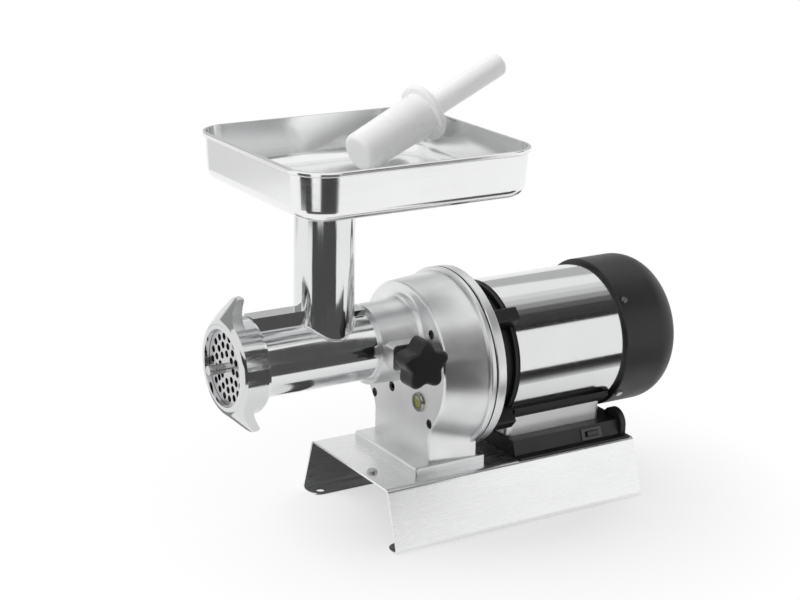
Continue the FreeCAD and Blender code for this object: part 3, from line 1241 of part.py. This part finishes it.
def clamp_knob():
    """Hand knob with a wavy rim, on a round hub."""
    count = 8 * KNOB_LOBES
    points = []
    for index in range(count):
        angle = 2 * math.pi * index / count
        radius = KNOB_RADIUS + KNOB_WAVE * math.cos(KNOB_LOBES * angle)
        points.append(vec(KNOB_START, FACE_Y - CLAMP_FROM_FACE + radius * math.sin(angle),
                          HEAD_Z + radius * math.cos(angle)))
    rim = Part.BSplineCurve()
    rim.interpolate(points, PeriodicFlag=True)
    grip = Part.Face(Part.Wire(rim.toShape())).extrude(vec(KNOB_THICKNESS, 0, 0))
    face_x = KNOB_START + KNOB_THICKNESS
    grip = rounded(grip, KNOB_EDGE, lambda edge: edge.CenterOfMass.x > face_x - OVER)
    hub = peg(KNOB_HUB_RADIUS, KNOB_START - KNOB_HUB_LENGTH, KNOB_START + OVER, -CLAMP_FROM_FACE, HEAD_Z)
    bore = peg(CLAMP_STUD_RADIUS + SEAT_FIT, KNOB_START - KNOB_HUB_LENGTH - OVER,
               KNOB_START + KNOB_THICKNESS / 2, -CLAMP_FROM_FACE, HEAD_Z)
    return joined(grip, hub).cut(bore)


# Tray and pestle
TRAY_MIDDLE = TRAY_OFFSET - NECK_FROM_FACE
TRAY_FRONT = TRAY_MIDDLE - TRAY_LENGTH / 2
TRAY_BACK = TRAY_MIDDLE + TRAY_LENGTH / 2
SPIGOT_RADIUS = NECK_BORE - BODY_GAP


def tray_block(inset, low, high):
    """Tapered block with round corners and a round bottom edge, drawn in by the inset."""
    top = inset + TRAY_RIM_WIDTH - TRAY_SHEET
    bottom = top + TRAY_DRAFT
    wires = [rounded_rectangle(TRAY_WIDTH / 2 - side, TRAY_FRONT + side, TRAY_BACK - side,
                               TRAY_CORNER - side, z) for side, z in ((bottom, low), (top, high))]
    block = Part.makeLoft(wires, True, True)
    return rounded(block, TRAY_BOTTOM_RADIUS - inset, lambda edge: edge.CenterOfMass.z < low + TOLERANCE)


def feed_tray():
    pan = tray_block(0.0, TRAY_FLOOR_Z - TRAY_SHEET, TRAY_RIM_Z)
    outline = rounded_rectangle(TRAY_WIDTH / 2, TRAY_FRONT, TRAY_BACK, TRAY_CORNER,
                                TRAY_RIM_Z - TRAY_RIM_HEIGHT)
    rim = Part.Face(outline).extrude(vec(0, 0, TRAY_RIM_HEIGHT))
    rim = rounded(rim, TRAY_RIM_WIDTH / 3, lambda edge: not is_straight(edge, AXIS_Z))
    hollow = tray_block(TRAY_SHEET, TRAY_FLOOR_Z, TRAY_RIM_Z + OVER)
    hole = post(SPIGOT_RADIUS - SPIGOT_WALL, 0.0, -NECK_FROM_FACE, TRAY_FLOOR_Z - TRAY_SHEET - OVER,
                TRAY_FLOOR_Z + OVER)
    return joined(pan, rim).cut([hollow, hole])


def tray_spigot():
    """Short tube welded under the tray's hole, which drops into the neck."""
    low = TRAY_FLOOR_Z - SPIGOT_LENGTH
    top = TRAY_FLOOR_Z - TRAY_SHEET
    outside = post(SPIGOT_RADIUS, 0.0, -NECK_FROM_FACE, low, top)
    return outside.cut(post(SPIGOT_RADIUS - SPIGOT_WALL, 0.0, -NECK_FROM_FACE, low - OVER, top + OVER))


def pestle():
    """Pusher lying in the tray: the round edge of its tip on the floor, its handle on the rear rim."""
    guard_end = PESTLE_BODY_LENGTH + PESTLE_GUARD
    profile = [(0, 0), (PESTLE_TIP_RADIUS, 0), (PESTLE_BODY_RADIUS, PESTLE_BODY_LENGTH),
               (PESTLE_GUARD_RADIUS, PESTLE_BODY_LENGTH), (PESTLE_GUARD_RADIUS, guard_end),
               (PESTLE_HANDLE_RADIUS, guard_end), (PESTLE_HANDLE_RADIUS, PESTLE_LENGTH), (0, PESTLE_LENGTH)]
    points = [vec(radius, y, 0) for radius, y in profile]
    body = Part.Face(Part.makePolygon(points + points[:1])).revolve(vec(0, 0, 0), AXIS_Y, 360)
    body = rounded(body, PESTLE_EDGE, lambda edge: is_circle(edge, PESTLE_TIP_RADIUS)
                   or (is_circle(edge, PESTLE_HANDLE_RADIUS) and edge.CenterOfMass.y > PESTLE_LENGTH - OVER))
    body = rounded(body, PESTLE_GUARD / 3, lambda edge: is_circle(edge, PESTLE_GUARD_RADIUS))
    turn = math.radians(PESTLE_SIDE_TURN)
    rise = TRAY_DEPTH - PESTLE_EDGE
    run = (TRAY_BACK - TRAY_RIM_WIDTH + PESTLE_FROM_FACE) / math.cos(turn)
    shrink = PESTLE_TIP_RADIUS - PESTLE_EDGE - PESTLE_HANDLE_RADIUS
    lean = math.atan2(rise, run) - math.asin(shrink / math.hypot(rise, run))
    body.translate(vec(0, -PESTLE_EDGE, PESTLE_TIP_RADIUS - PESTLE_EDGE))
    body.rotate(vec(0, 0, 0), AXIS_X, math.degrees(lean))
    body.rotate(vec(0, 0, 0), AXIS_Z, PESTLE_SIDE_TURN)
    body.translate(vec(PESTLE_FROM_SIDE - TRAY_WIDTH / 2, FACE_Y - PESTLE_FROM_FACE,
                       TRAY_FLOOR_Z + BODY_GAP + PESTLE_EDGE))
    return body


PARTS = {
    "base_stand": base_stand,
    "earth_screw": earth_screw,
    "gear_housing": gear_housing,
    "case_gasket": case_gasket,
    "case_cover": case_cover,
    "case_screws": case_screws,
    "oil_plug": oil_plug,
    "sight_glass_ring": sight_glass_ring,
    "sight_glass_lens": sight_glass_lens,
    "foot_bolts": foot_bolts,
    "output_bearings": output_bearings,
    "lay_bearings": lay_bearings,
    "output_seal": output_seal,
    "shaft_seal": shaft_seal,
    "output_gear": output_gear,
    "output_shaft": output_shaft,
    "lay_gear": lay_gear,
    "lay_shaft": lay_shaft,
    "motor_pinion": motor_pinion,
    "motor_front_shield": motor_front_shield,
    "motor_lugs": motor_lugs,
    "motor_sleeve": motor_sleeve,
    "motor_bearings": motor_bearings,
    "stator_core": stator_core,
    "stator_windings": stator_windings,
    "motor_rear_shield": motor_rear_shield,
    "rotor_shaft": rotor_shaft,
    "rotor_core": rotor_core,
    "cooling_fan": cooling_fan,
    "fan_cover": fan_cover,
    "fan_cover_screws": fan_cover_screws,
    "motor_saddle": motor_saddle,
    "saddle_pad": saddle_pad,
    "motor_plinth": motor_plinth,
    "plinth_screws": plinth_screws,
    "run_capacitor": run_capacitor,
    "switch_body": switch_body,
    "switch_rocker": switch_rocker,
    "grinder_body": grinder_body,
    "feed_neck": feed_neck,
    "plate_pin": plate_pin,
    "rear_bush": rear_bush,
    "feed_auger": feed_auger,
    "cutting_knife": cutting_knife,
    "grinder_plate": grinder_plate,
    "ring_nut": ring_nut,
    "clamp_pad": clamp_pad,
    "clamp_stud": clamp_stud,
    "clamp_knob": clamp_knob,
    "feed_tray": feed_tray,
    "tray_spigot": tray_spigot,
    "pestle": pestle,
}

os.makedirs("parts", exist_ok=True)
for name, make in PARTS.items():
    make().exportStep(os.path.join("parts", name + ".step"))
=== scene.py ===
import json
import math

import bpy
import bmesh
from mathutils import Matrix, Vector


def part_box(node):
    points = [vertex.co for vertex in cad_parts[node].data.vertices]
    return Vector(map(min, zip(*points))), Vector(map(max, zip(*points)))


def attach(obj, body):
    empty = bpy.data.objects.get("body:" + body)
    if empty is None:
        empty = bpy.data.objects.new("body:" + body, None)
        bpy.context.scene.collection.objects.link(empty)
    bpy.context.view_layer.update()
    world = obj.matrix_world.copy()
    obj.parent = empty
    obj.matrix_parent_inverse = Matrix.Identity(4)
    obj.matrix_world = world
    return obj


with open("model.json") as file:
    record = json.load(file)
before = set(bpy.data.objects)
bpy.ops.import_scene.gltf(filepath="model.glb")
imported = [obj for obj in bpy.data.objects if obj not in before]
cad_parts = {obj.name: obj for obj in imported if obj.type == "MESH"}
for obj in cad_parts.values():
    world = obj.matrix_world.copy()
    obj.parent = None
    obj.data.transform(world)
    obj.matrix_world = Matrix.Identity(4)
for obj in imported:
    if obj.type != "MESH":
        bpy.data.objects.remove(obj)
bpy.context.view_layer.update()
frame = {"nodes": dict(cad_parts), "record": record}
scene = bpy.context.scene
nodes = frame["nodes"]

# Shared places, in metres
HEAD_Z = 0.177
NECK_Y = -0.1706
NECK_RADIUS = 0.028
BARREL_RADIUS = 0.0332
OIL_LEVEL = 0.1245
OIL_EDGE = 0.0006

# Depths of the surface grain, and the smoothest a varied surface may be
GRAIN_DEPTH = 0.0002
CAST_DEPTH = 0.0006
SMOOTHEST = 0.02

# The weld beads on the neck's foot
WELD_RADIUS = 0.0013
WELD_LIFT = 0.0003
WELD_RIPPLE = 0.0002
WELD_RIPPLE_STEP = 2.4
WELD_HALF_TURN = 68
WELD_STEPS = 40
BEAD_SIDES = 8

# The white room
FLOOR_HALF = 9.0
FLOOR_DROP = 0.0002
FLOOR_COLOR = (0.9, 0.9, 0.9, 1.0)
WHITE = (1.0, 1.0, 1.0, 1.0)
SHADOW_NEAR = 0.12
SHADOW_FAR = 0.34
SHADOW_GLOW = 0.58
ROOM_LIGHT = 0.5
LAMP_AIM = Vector((0, -0.05, 0.18))
CARD_HEIGHT = 0.0005
STAND_INSET = 0.003
ROUND_RADIUS = 0.45
ROUND_STEPS = 8

# The photograph's camera
AZIMUTH = math.radians(58.32)
ELEVATION = math.radians(17.07)
ROLL = math.radians(1.16)
DISTANCE = 1.74712
TARGET = Vector((0.0, -0.08881, 0.21457))
FOCAL_PIXELS = 1857.87
PICTURE_PIXELS = 800
SENSOR = 36.0
SIGHT = 50.0


def rgba(color):
    return (*color, 1.0)


class Look:
    """A Principled material with a few procedural layers."""

    def __init__(self, name, color, metallic=0.0, roughness=0.5, **sockets):
        self.material = bpy.data.materials.new(name)
        self.material.use_nodes = True
        self.tree = self.material.node_tree
        self.shader = self.tree.nodes["Principled BSDF"]
        self.color = color
        self.roughness = roughness
        self.put("Base Color", rgba(color))
        self.put("Metallic", metallic)
        self.put("Roughness", roughness)
        for socket, value in sockets.items():
            self.put(socket.replace("_", " "), value)
        self.coordinates = self.tree.nodes.new("ShaderNodeTexCoord")
        self.normal = None

    def put(self, socket, value):
        self.shader.inputs[socket].default_value = value

    def link(self, source, target):
        self.tree.links.new(source, target)

    def noise(self, scale, stretch=(1, 1, 1), detail=3.0):
        mapping = self.tree.nodes.new("ShaderNodeMapping")
        mapping.inputs["Scale"].default_value = stretch
        self.link(self.coordinates.outputs["Object"], mapping.inputs["Vector"])
        texture = self.tree.nodes.new("ShaderNodeTexNoise")
        texture.inputs["Scale"].default_value = scale
        texture.inputs["Detail"].default_value = detail
        self.link(mapping.outputs["Vector"], texture.inputs["Vector"])
        return texture.outputs["Fac"]

    def span(self, source, low, high, start=0.3, end=0.7):
        reach = self.tree.nodes.new("ShaderNodeMapRange")
        reach.inputs["From Min"].default_value = start
        reach.inputs["From Max"].default_value = end
        reach.inputs["To Min"].default_value = low
        reach.inputs["To Max"].default_value = high
        self.link(source, reach.inputs["Value"])
        return reach.outputs["Result"]

    def vary_roughness(self, source, change):
        low = max(SMOOTHEST, self.roughness - change)
        self.link(self.span(source, low, self.roughness + change), self.shader.inputs["Roughness"])
        return self

    def vary_color(self, source, other, start=0.3, end=0.7):
        mix = self.tree.nodes.new("ShaderNodeMix")
        mix.data_type = "RGBA"
        mix.inputs["A"].default_value = rgba(self.color)
        mix.inputs["B"].default_value = rgba(other)
        self.link(self.span(source, 0.0, 1.0, start, end), mix.inputs["Factor"])
        self.link(mix.outputs["Result"], self.shader.inputs["Base Color"])
        return self

    def bump(self, source, strength, distance):
        node = self.tree.nodes.new("ShaderNodeBump")
        node.inputs["Strength"].default_value = strength
        node.inputs["Distance"].default_value = distance
        self.link(source, node.inputs["Height"])
        if self.normal is not None:
            self.link(self.normal, node.inputs["Normal"])
        self.normal = node.outputs["Normal"]
        self.link(self.normal, self.shader.inputs["Normal"])
        return self


def brushed(name, color, roughness, stretch, strength=0.06):
    look = Look(name, color, 1.0, roughness)
    lines = look.noise(2400.0, stretch, 2.0)
    look.vary_roughness(lines, 0.05)
    look.vary_color(look.noise(14.0), tuple(c * 0.96 for c in color))
    return look.bump(lines, strength, GRAIN_DEPTH)


def cast(name, color, roughness):
    look = Look(name, color, 1.0, roughness)
    grain = look.noise(1500.0, detail=4.0)
    cloud = look.noise(22.0)
    look.vary_roughness(cloud, 0.06)
    look.vary_color(cloud, tuple(c * 0.9 for c in color))
    look.bump(grain, 0.12, GRAIN_DEPTH)
    return look.bump(look.noise(110.0), 0.05, CAST_DEPTH)


def moulded(name, color, roughness, grain_scale=1800.0, strength=0.18):
    look = Look(name, color, 0.0, roughness)
    grain = look.noise(grain_scale, detail=4.0)
    cloud = look.noise(30.0)
    look.vary_roughness(cloud, 0.06)
    look.vary_color(cloud, tuple(min(1.0, c * 1.25 + 0.004) for c in color))
    return look.bump(grain, strength, GRAIN_DEPTH)


def steel(name, color, roughness):
    look = Look(name, color, 1.0, roughness)
    grain = look.noise(700.0, detail=4.0)
    look.vary_roughness(grain, 0.07)
    look.vary_color(look.noise(60.0), tuple(c * 0.85 for c in color))
    return look.bump(grain, 0.05, GRAIN_DEPTH)


LOOKS = {
    "base": brushed("brushed_stand", (0.94, 0.944, 0.948), 0.28, (1.0, 0.01, 1.0), 0.1),
    "case": cast("satin_casting", (0.85, 0.854, 0.858), 0.34),
    "gasket": moulded("gasket_fibre", (0.05, 0.05, 0.05), 0.8),
    "zinc": steel("zinc_plate", (0.55, 0.55, 0.54), 0.3),
    "gear_steel": steel("gear_steel", (0.5, 0.5, 0.52), 0.28),
    "bearing_steel": steel("bearing_steel", (0.62, 0.62, 0.64), 0.16),
    "seal_rubber": moulded("seal_rubber", (0.02, 0.02, 0.02), 0.7),
    "glass": Look("sight_glass", (0.42, 0.43, 0.09), 0.0, 0.06, Transmission_Weight=0.25, IOR=1.47,
                  Coat_Weight=0.6, Coat_Roughness=0.03),
    "glass_ring": steel("glass_ring", (0.42, 0.42, 0.39), 0.18),
    "shield": cast("dark_casting", (0.05, 0.05, 0.052), 0.5),
    "sleeve": brushed("polished_sleeve", (0.76, 0.765, 0.77), 0.1, (0.01, 1.0, 0.01), 0.03),
    "lamination": brushed("lamination", (0.36, 0.36, 0.37), 0.4, (0.02, 4.0, 0.02), 0.3),
    "copper": brushed("varnished_wire", (0.62, 0.28, 0.12), 0.35, (0.05, 3.0, 0.05), 0.6),
    "black_cover": moulded("black_cover", (0.009, 0.009, 0.0095), 0.46),
    "fan": moulded("fan_plastic", (0.05, 0.05, 0.055), 0.45),
    "saddle": cast("saddle_casting", (0.92, 0.922, 0.924), 0.42),
    "pad": moulded("rubber_pad", (0.01, 0.01, 0.01), 0.65),
    "plinth": moulded("plinth_plastic", (0.009, 0.009, 0.0095), 0.46),
    "capacitor": moulded("capacitor_case", (0.72, 0.71, 0.67), 0.4),
    "switch": moulded("switch_frame", (0.06, 0.06, 0.065), 0.35),
    "rocker": moulded("switch_key", (0.015, 0.015, 0.015), 0.3),
    "head": brushed("polished_head", (0.8, 0.805, 0.81), 0.1, (0.01, 1.0, 0.01), 0.03),
    "bush": moulded("bush_polymer", (0.8, 0.79, 0.74), 0.45),
    "auger": cast("auger_casting", (0.7, 0.7, 0.7), 0.24),
    "knife": steel("knife_steel", (0.62, 0.62, 0.64), 0.2),
    "plate": brushed("plate_steel", (0.6, 0.6, 0.61), 0.24, (1.0, 1.0, 0.05), 0.05),
    "nut": brushed("polished_nut", (0.7, 0.705, 0.71), 0.11, (0.3, 0.05, 0.3), 0.03),
    "knob": moulded("black_knob", (0.011, 0.011, 0.0115), 0.46),
    "tray": brushed("tray_sheet", (0.9, 0.903, 0.906), 0.16, (0.01, 0.01, 1.0), 0.04),
    "black_screw": steel("black_screw", (0.05, 0.05, 0.052), 0.4),
    "pestle": Look("milky_plastic", (0.96, 0.963, 0.96), 0.0, 0.3, Subsurface_Weight=0.5,
                   Subsurface_Radius=(0.012, 0.012, 0.012), Subsurface_Scale=1.0),
}
milky = LOOKS["pestle"]
milky.vary_roughness(milky.noise(40.0), 0.06)
milky.vary_color(milky.noise(25.0), (0.93, 0.935, 0.93))
milky.bump(milky.noise(900.0, detail=4.0), 0.06, GRAIN_DEPTH)
glass = LOOKS["glass"]
parts_of_place = glass.tree.nodes.new("ShaderNodeSeparateXYZ")
glass.link(glass.coordinates.outputs["Object"], parts_of_place.inputs["Vector"])
glass.vary_color(parts_of_place.outputs["Z"], (0.62, 0.63, 0.5), OIL_LEVEL, OIL_LEVEL + OIL_EDGE)
glass.bump(glass.noise(200.0), 0.03, GRAIN_DEPTH)

# Nodes that look different from the rest of their slot
OWN_LOOKS = {"oil_plug": "black_screw", "fan_cover_screws": "zinc"}
for entry in frame["record"]["subparts"]:
    piece = nodes[entry["node"]]
    piece.data.materials.clear()
    look = OWN_LOOKS.get(entry["node"], entry["material_slot"])
    piece.data.materials.append(LOOKS[look].material)


def placed(name, mesh_tool, slot, body):
    """Finishes a bmesh as a piece that rides on a body."""
    mesh = bpy.data.meshes.new(name)
    mesh_tool.to_mesh(mesh)
    mesh_tool.free()
    piece = bpy.data.objects.new(name, mesh)
    scene.collection.objects.link(piece)
    mesh.materials.append(LOOKS[slot].material)
    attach(piece, body)


def bead_along(name, points, radius, slot, body):
    """A round bead that follows a line of points."""
    tool = bmesh.new()
    rings = []
    for index, point in enumerate(points):
        ahead = points[min(index + 1, len(points) - 1)]
        behind = points[max(index - 1, 0)]
        along = (Vector(ahead) - Vector(behind)).normalized()
        if rings:
            side = (side - along * side.dot(along)).normalized()
        else:
            side = along.orthogonal().normalized()
        other = along.cross(side)
        ring = []
        for step in range(BEAD_SIDES):
            angle = 2 * math.pi * step / BEAD_SIDES
            reach = side * math.cos(angle) + other * math.sin(angle)
            ring.append(tool.verts.new(Vector(point) + reach * radius))
        rings.append(ring)
    for first, second in zip(rings, rings[1:]):
        for step in range(BEAD_SIDES):
            follow = (step + 1) % BEAD_SIDES
            tool.faces.new((first[step], first[follow], second[follow], second[step]))
    tool.faces.new(list(reversed(rings[0])))
    tool.faces.new(rings[-1])
    bmesh.ops.recalc_face_normals(tool, faces=tool.faces)
    for face in tool.faces:
        face.smooth = True
    placed(name, tool, slot, body)


def weld_bead():
    """The two welded seams where the feed neck stands on the barrel, from rib to rib."""
    for label, sign in (("right", 1), ("left", -1)):
        points = []
        for index in range(WELD_STEPS + 1):
            turn = math.radians(-WELD_HALF_TURN + 2 * WELD_HALF_TURN * index / WELD_STEPS)
            x = sign * NECK_RADIUS * math.cos(turn)
            y = NECK_Y + NECK_RADIUS * math.sin(turn)
            ripple = WELD_RIPPLE * math.sin(index * WELD_RIPPLE_STEP)
            points.append((x, y, HEAD_Z + math.sqrt(BARREL_RADIUS ** 2 - x * x) + WELD_LIFT + ripple))
        bead_along("neck_weld_" + label, points, WELD_RADIUS, "head", "head")


weld_bead()


# Floor, light and camera
def seen_as_room(tree):
    """1 for rays from the camera, off polished surfaces and through glass, 0 for the rest."""
    path = tree.nodes.new("ShaderNodeLightPath")
    seen = path.outputs["Is Camera Ray"]
    for kind in ("Is Glossy Ray", "Is Transmission Ray"):
        larger = tree.nodes.new("ShaderNodeMath")
        larger.operation = "MAXIMUM"
        tree.links.new(seen, larger.inputs[0])
        tree.links.new(path.outputs[kind], larger.inputs[1])
        seen = larger.outputs[0]
    return seen


def stage_floor():
    """A floor that shows as white, with the part's soft shadow close to it."""
    tool = bmesh.new()
    bmesh.ops.create_grid(tool, x_segments=1, y_segments=1, size=FLOOR_HALF)
    mesh = bpy.data.meshes.new("floor")
    tool.to_mesh(mesh)
    tool.free()
    floor = bpy.data.objects.new("floor", mesh)
    scene.collection.objects.link(floor)
    floor.location = (0, 0, -FLOOR_DROP)
    material = bpy.data.materials.new("floor_white")
    material.use_nodes = True
    tree = material.node_tree
    tree.nodes.clear()
    output = tree.nodes.new("ShaderNodeOutputMaterial")
    paint = tree.nodes.new("ShaderNodeBsdfDiffuse")
    paint.inputs["Color"].default_value = FLOOR_COLOR
    glow = tree.nodes.new("ShaderNodeEmission")
    glow.inputs["Color"].default_value = WHITE
    place = tree.nodes.new("ShaderNodeTexCoord")
    length = tree.nodes.new("ShaderNodeVectorMath")
    length.operation = "LENGTH"
    tree.links.new(place.outputs["Object"], length.inputs[0])
    reach = tree.nodes.new("ShaderNodeMapRange")
    reach.inputs["From Min"].default_value = SHADOW_NEAR
    reach.inputs["From Max"].default_value = SHADOW_FAR
    reach.inputs["To Min"].default_value = SHADOW_GLOW
    reach.inputs["To Max"].default_value = 1.0
    tree.links.new(length.outputs["Value"], reach.inputs["Value"])
    share = tree.nodes.new("ShaderNodeMath")
    share.operation = "MULTIPLY"
    tree.links.new(reach.outputs["Result"], share.inputs[0])
    tree.links.new(seen_as_room(tree), share.inputs[1])
    mix = tree.nodes.new("ShaderNodeMixShader")
    tree.links.new(share.outputs[0], mix.inputs["Fac"])
    tree.links.new(paint.outputs[0], mix.inputs[1])
    tree.links.new(glow.outputs[0], mix.inputs[2])
    tree.links.new(mix.outputs[0], output.inputs["Surface"])
    mesh.materials.append(material)


def stage_world():
    """A white room that gives the matt surfaces half its light."""
    world = bpy.data.worlds.new("studio")
    scene.world = world
    world.use_nodes = True
    tree = world.node_tree
    tree.nodes.clear()
    output = tree.nodes.new("ShaderNodeOutputWorld")
    soft = tree.nodes.new("ShaderNodeBackground")
    soft.inputs["Color"].default_value = WHITE
    soft.inputs["Strength"].default_value = ROOM_LIGHT
    white = tree.nodes.new("ShaderNodeBackground")
    white.inputs["Color"].default_value = WHITE
    mix = tree.nodes.new("ShaderNodeMixShader")
    tree.links.new(seen_as_room(tree), mix.inputs["Fac"])
    tree.links.new(soft.outputs[0], mix.inputs[1])
    tree.links.new(white.outputs[0], mix.inputs[2])
    tree.links.new(mix.outputs[0], output.inputs["Surface"])


def flag(name, corners, shade):
    """A studio flag: a four-cornered card that shows only in polished surfaces."""
    tool = bmesh.new()
    tool.faces.new([tool.verts.new(corner) for corner in corners])
    mesh = bpy.data.meshes.new(name)
    tool.to_mesh(mesh)
    tool.free()
    card = bpy.data.objects.new(name, mesh)
    scene.collection.objects.link(card)
    material = bpy.data.materials.new(name)
    material.use_nodes = True
    tree = material.node_tree
    tree.nodes.clear()
    output = tree.nodes.new("ShaderNodeOutputMaterial")
    glow = tree.nodes.new("ShaderNodeEmission")
    glow.inputs["Color"].default_value = (shade, shade, shade, 1.0)
    tree.links.new(glow.outputs[0], output.inputs["Surface"])
    mesh.materials.append(material)
    card.visible_camera = False
    card.visible_diffuse = False
    card.visible_shadow = False
    card.visible_transmission = False


def upright_flag(name, start, end, low, high, shade):
    """A standing flag over the line from start to end on the floor."""
    (x0, y0), (x1, y1) = start, end
    flag(name, ((x0, y0, low), (x1, y1, low), (x1, y1, high), (x0, y0, high)), shade)


def floor_flag(name, low, high, shade):
    """A flag that lies just over the floor, from corner low to corner high."""
    (x0, y0), (x1, y1) = low, high
    flag(name, [(x, y, CARD_HEIGHT) for x, y in ((x0, y0), (x1, y0), (x1, y1), (x0, y1))], shade)


def round_flag(name, first, last, low, high, shade):
    """A flag bent round the feed neck, in straight runs."""
    spots = []
    for index in range(ROUND_STEPS + 1):
        angle = math.radians(first + (last - first) * index / ROUND_STEPS)
        spots.append((ROUND_RADIUS * math.sin(angle), NECK_Y - ROUND_RADIUS * math.cos(angle)))
    for index in range(ROUND_STEPS):
        upright_flag(f"{name}_{index}", spots[index], spots[index + 1], low, high, shade)


def sleeve_flags():
    """Flags over and beside the motor that grade from dark to light in its sleeve."""
    x0, z0, radius, first, step = 0.07, 0.15, 0.52, 44, 9
    front, rear = 0.22, 0.7
    low_front, low_rear = 0.1, 0.42
    for index, shade in enumerate((0.03, 0.05, 0.06, 0.13, 0.35, 0.65, 0.8)):
        low, high = [(x0 + radius * math.cos(math.radians(angle)), z0 + radius * math.sin(math.radians(angle)))
                     for angle in (first + step * index, first + step * (index + 1))]
        flag(f"flag_sleeve_{index}", [(low[0], front, low[1]), (low[0], rear, low[1]),
                                      (high[0], rear, high[1]), (high[0], front, high[1])], shade)
    floor_cards = ((0.28, 0.4, 0.03), (0.24, 0.28, 0.06), (0.215, 0.24, 0.22), (0.19, 0.215, 0.5))
    for index, (near, far, shade) in enumerate(floor_cards):
        floor_flag(f"flag_sleeve_low_{index}", (near, low_front), (far, low_rear), shade)


def stand_shade_flag():
    """The dark under the stand: a dark card just over the floor, seen only in polished surfaces, that paints
    shade into the stand's inner walls and the underside of its top.
    """
    low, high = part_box("base_stand")
    floor_flag("flag_stand_shade", (low[0] + STAND_INSET, low[1] + STAND_INSET),
               (high[0] - STAND_INSET, high[1] - STAND_INSET), 0.06)


def soft_box(name, place, size, energy):
    """A lamp for the matt surfaces; polished ones see the white room and the flags."""
    light = bpy.data.lights.new(name, "AREA")
    light.shape = "RECTANGLE"
    light.size = size[0]
    light.size_y = size[1]
    light.energy = energy
    lamp = bpy.data.objects.new(name, light)
    scene.collection.objects.link(lamp)
    lamp.location = place
    facing = LAMP_AIM - Vector(place)
    lamp.rotation_euler = facing.to_track_quat("-Z", "Y").to_euler()
    lamp.visible_glossy = False


def photo_camera():
    """The camera of the photograph, as fitted to it."""
    data = bpy.data.cameras.new("camera")
    data.sensor_width = SENSOR
    data.lens = FOCAL_PIXELS / PICTURE_PIXELS * SENSOR
    data.clip_end = SIGHT
    camera = bpy.data.objects.new("camera", data)
    scene.collection.objects.link(camera)
    level = math.cos(ELEVATION)
    back = Vector((math.sin(AZIMUTH) * level, -math.cos(AZIMUTH) * level, math.sin(ELEVATION)))
    right = Vector((math.cos(AZIMUTH), math.sin(AZIMUTH), 0.0))
    up = back.cross(right)
    across = right * math.cos(ROLL) + up * math.sin(ROLL)
    upright = up * math.cos(ROLL) - right * math.sin(ROLL)
    turn = Matrix((across, upright, back)).transposed().to_4x4()
    camera.matrix_world = Matrix.Translation(TARGET + back * DISTANCE) @ turn
    scene.camera = camera


stage_floor()
stage_world()
upright_flag("flag_barrel_high", (0.45, -0.06), (0.45, 0.16), 0.27, 0.70, 0.09)
upright_flag("flag_barrel_mid", (0.8, 0.1), (0.8, 0.32), 0.18, 0.36, 0.09)
upright_flag("flag_barrel_low", (0.15, -0.22), (0.15, -0.02), 0.096, 0.19, 0.09)
round_flag("flag_neck", 16.0, 105.0, 0.03, 0.195, 0.08)
round_flag("flag_corner_left", 0.0, 35.0, 0.195, 0.31, 0.05)
round_flag("flag_corner_right", 57.0, 101.0, 0.195, 0.31, 0.05)
sleeve_flags()
upright_flag("flag_nut", (-1.0, -0.25), (-0.5, -0.95), 0.45, 1.1, 0.35)
floor_flag("flag_nut_low", (-0.36, -0.38), (-0.12, -0.2), 0.3)
floor_flag("flag_tray_end", (-1.5, -1.1), (-0.99, -0.45), 0.74)
stand_shade_flag()
upright_flag("flag_tray", (-1.3, 0.1), (-0.3, 1.1), 0.5, 1.0, 0.55)
soft_box("key", (-0.6, -1.6, 1.9), (1.4, 1.4), 31.0)
soft_box("rim", (-0.8, 1.6, 1.6), (1.2, 1.2), 12.0)
photo_camera()
scene.view_settings.view_transform = "Standard"
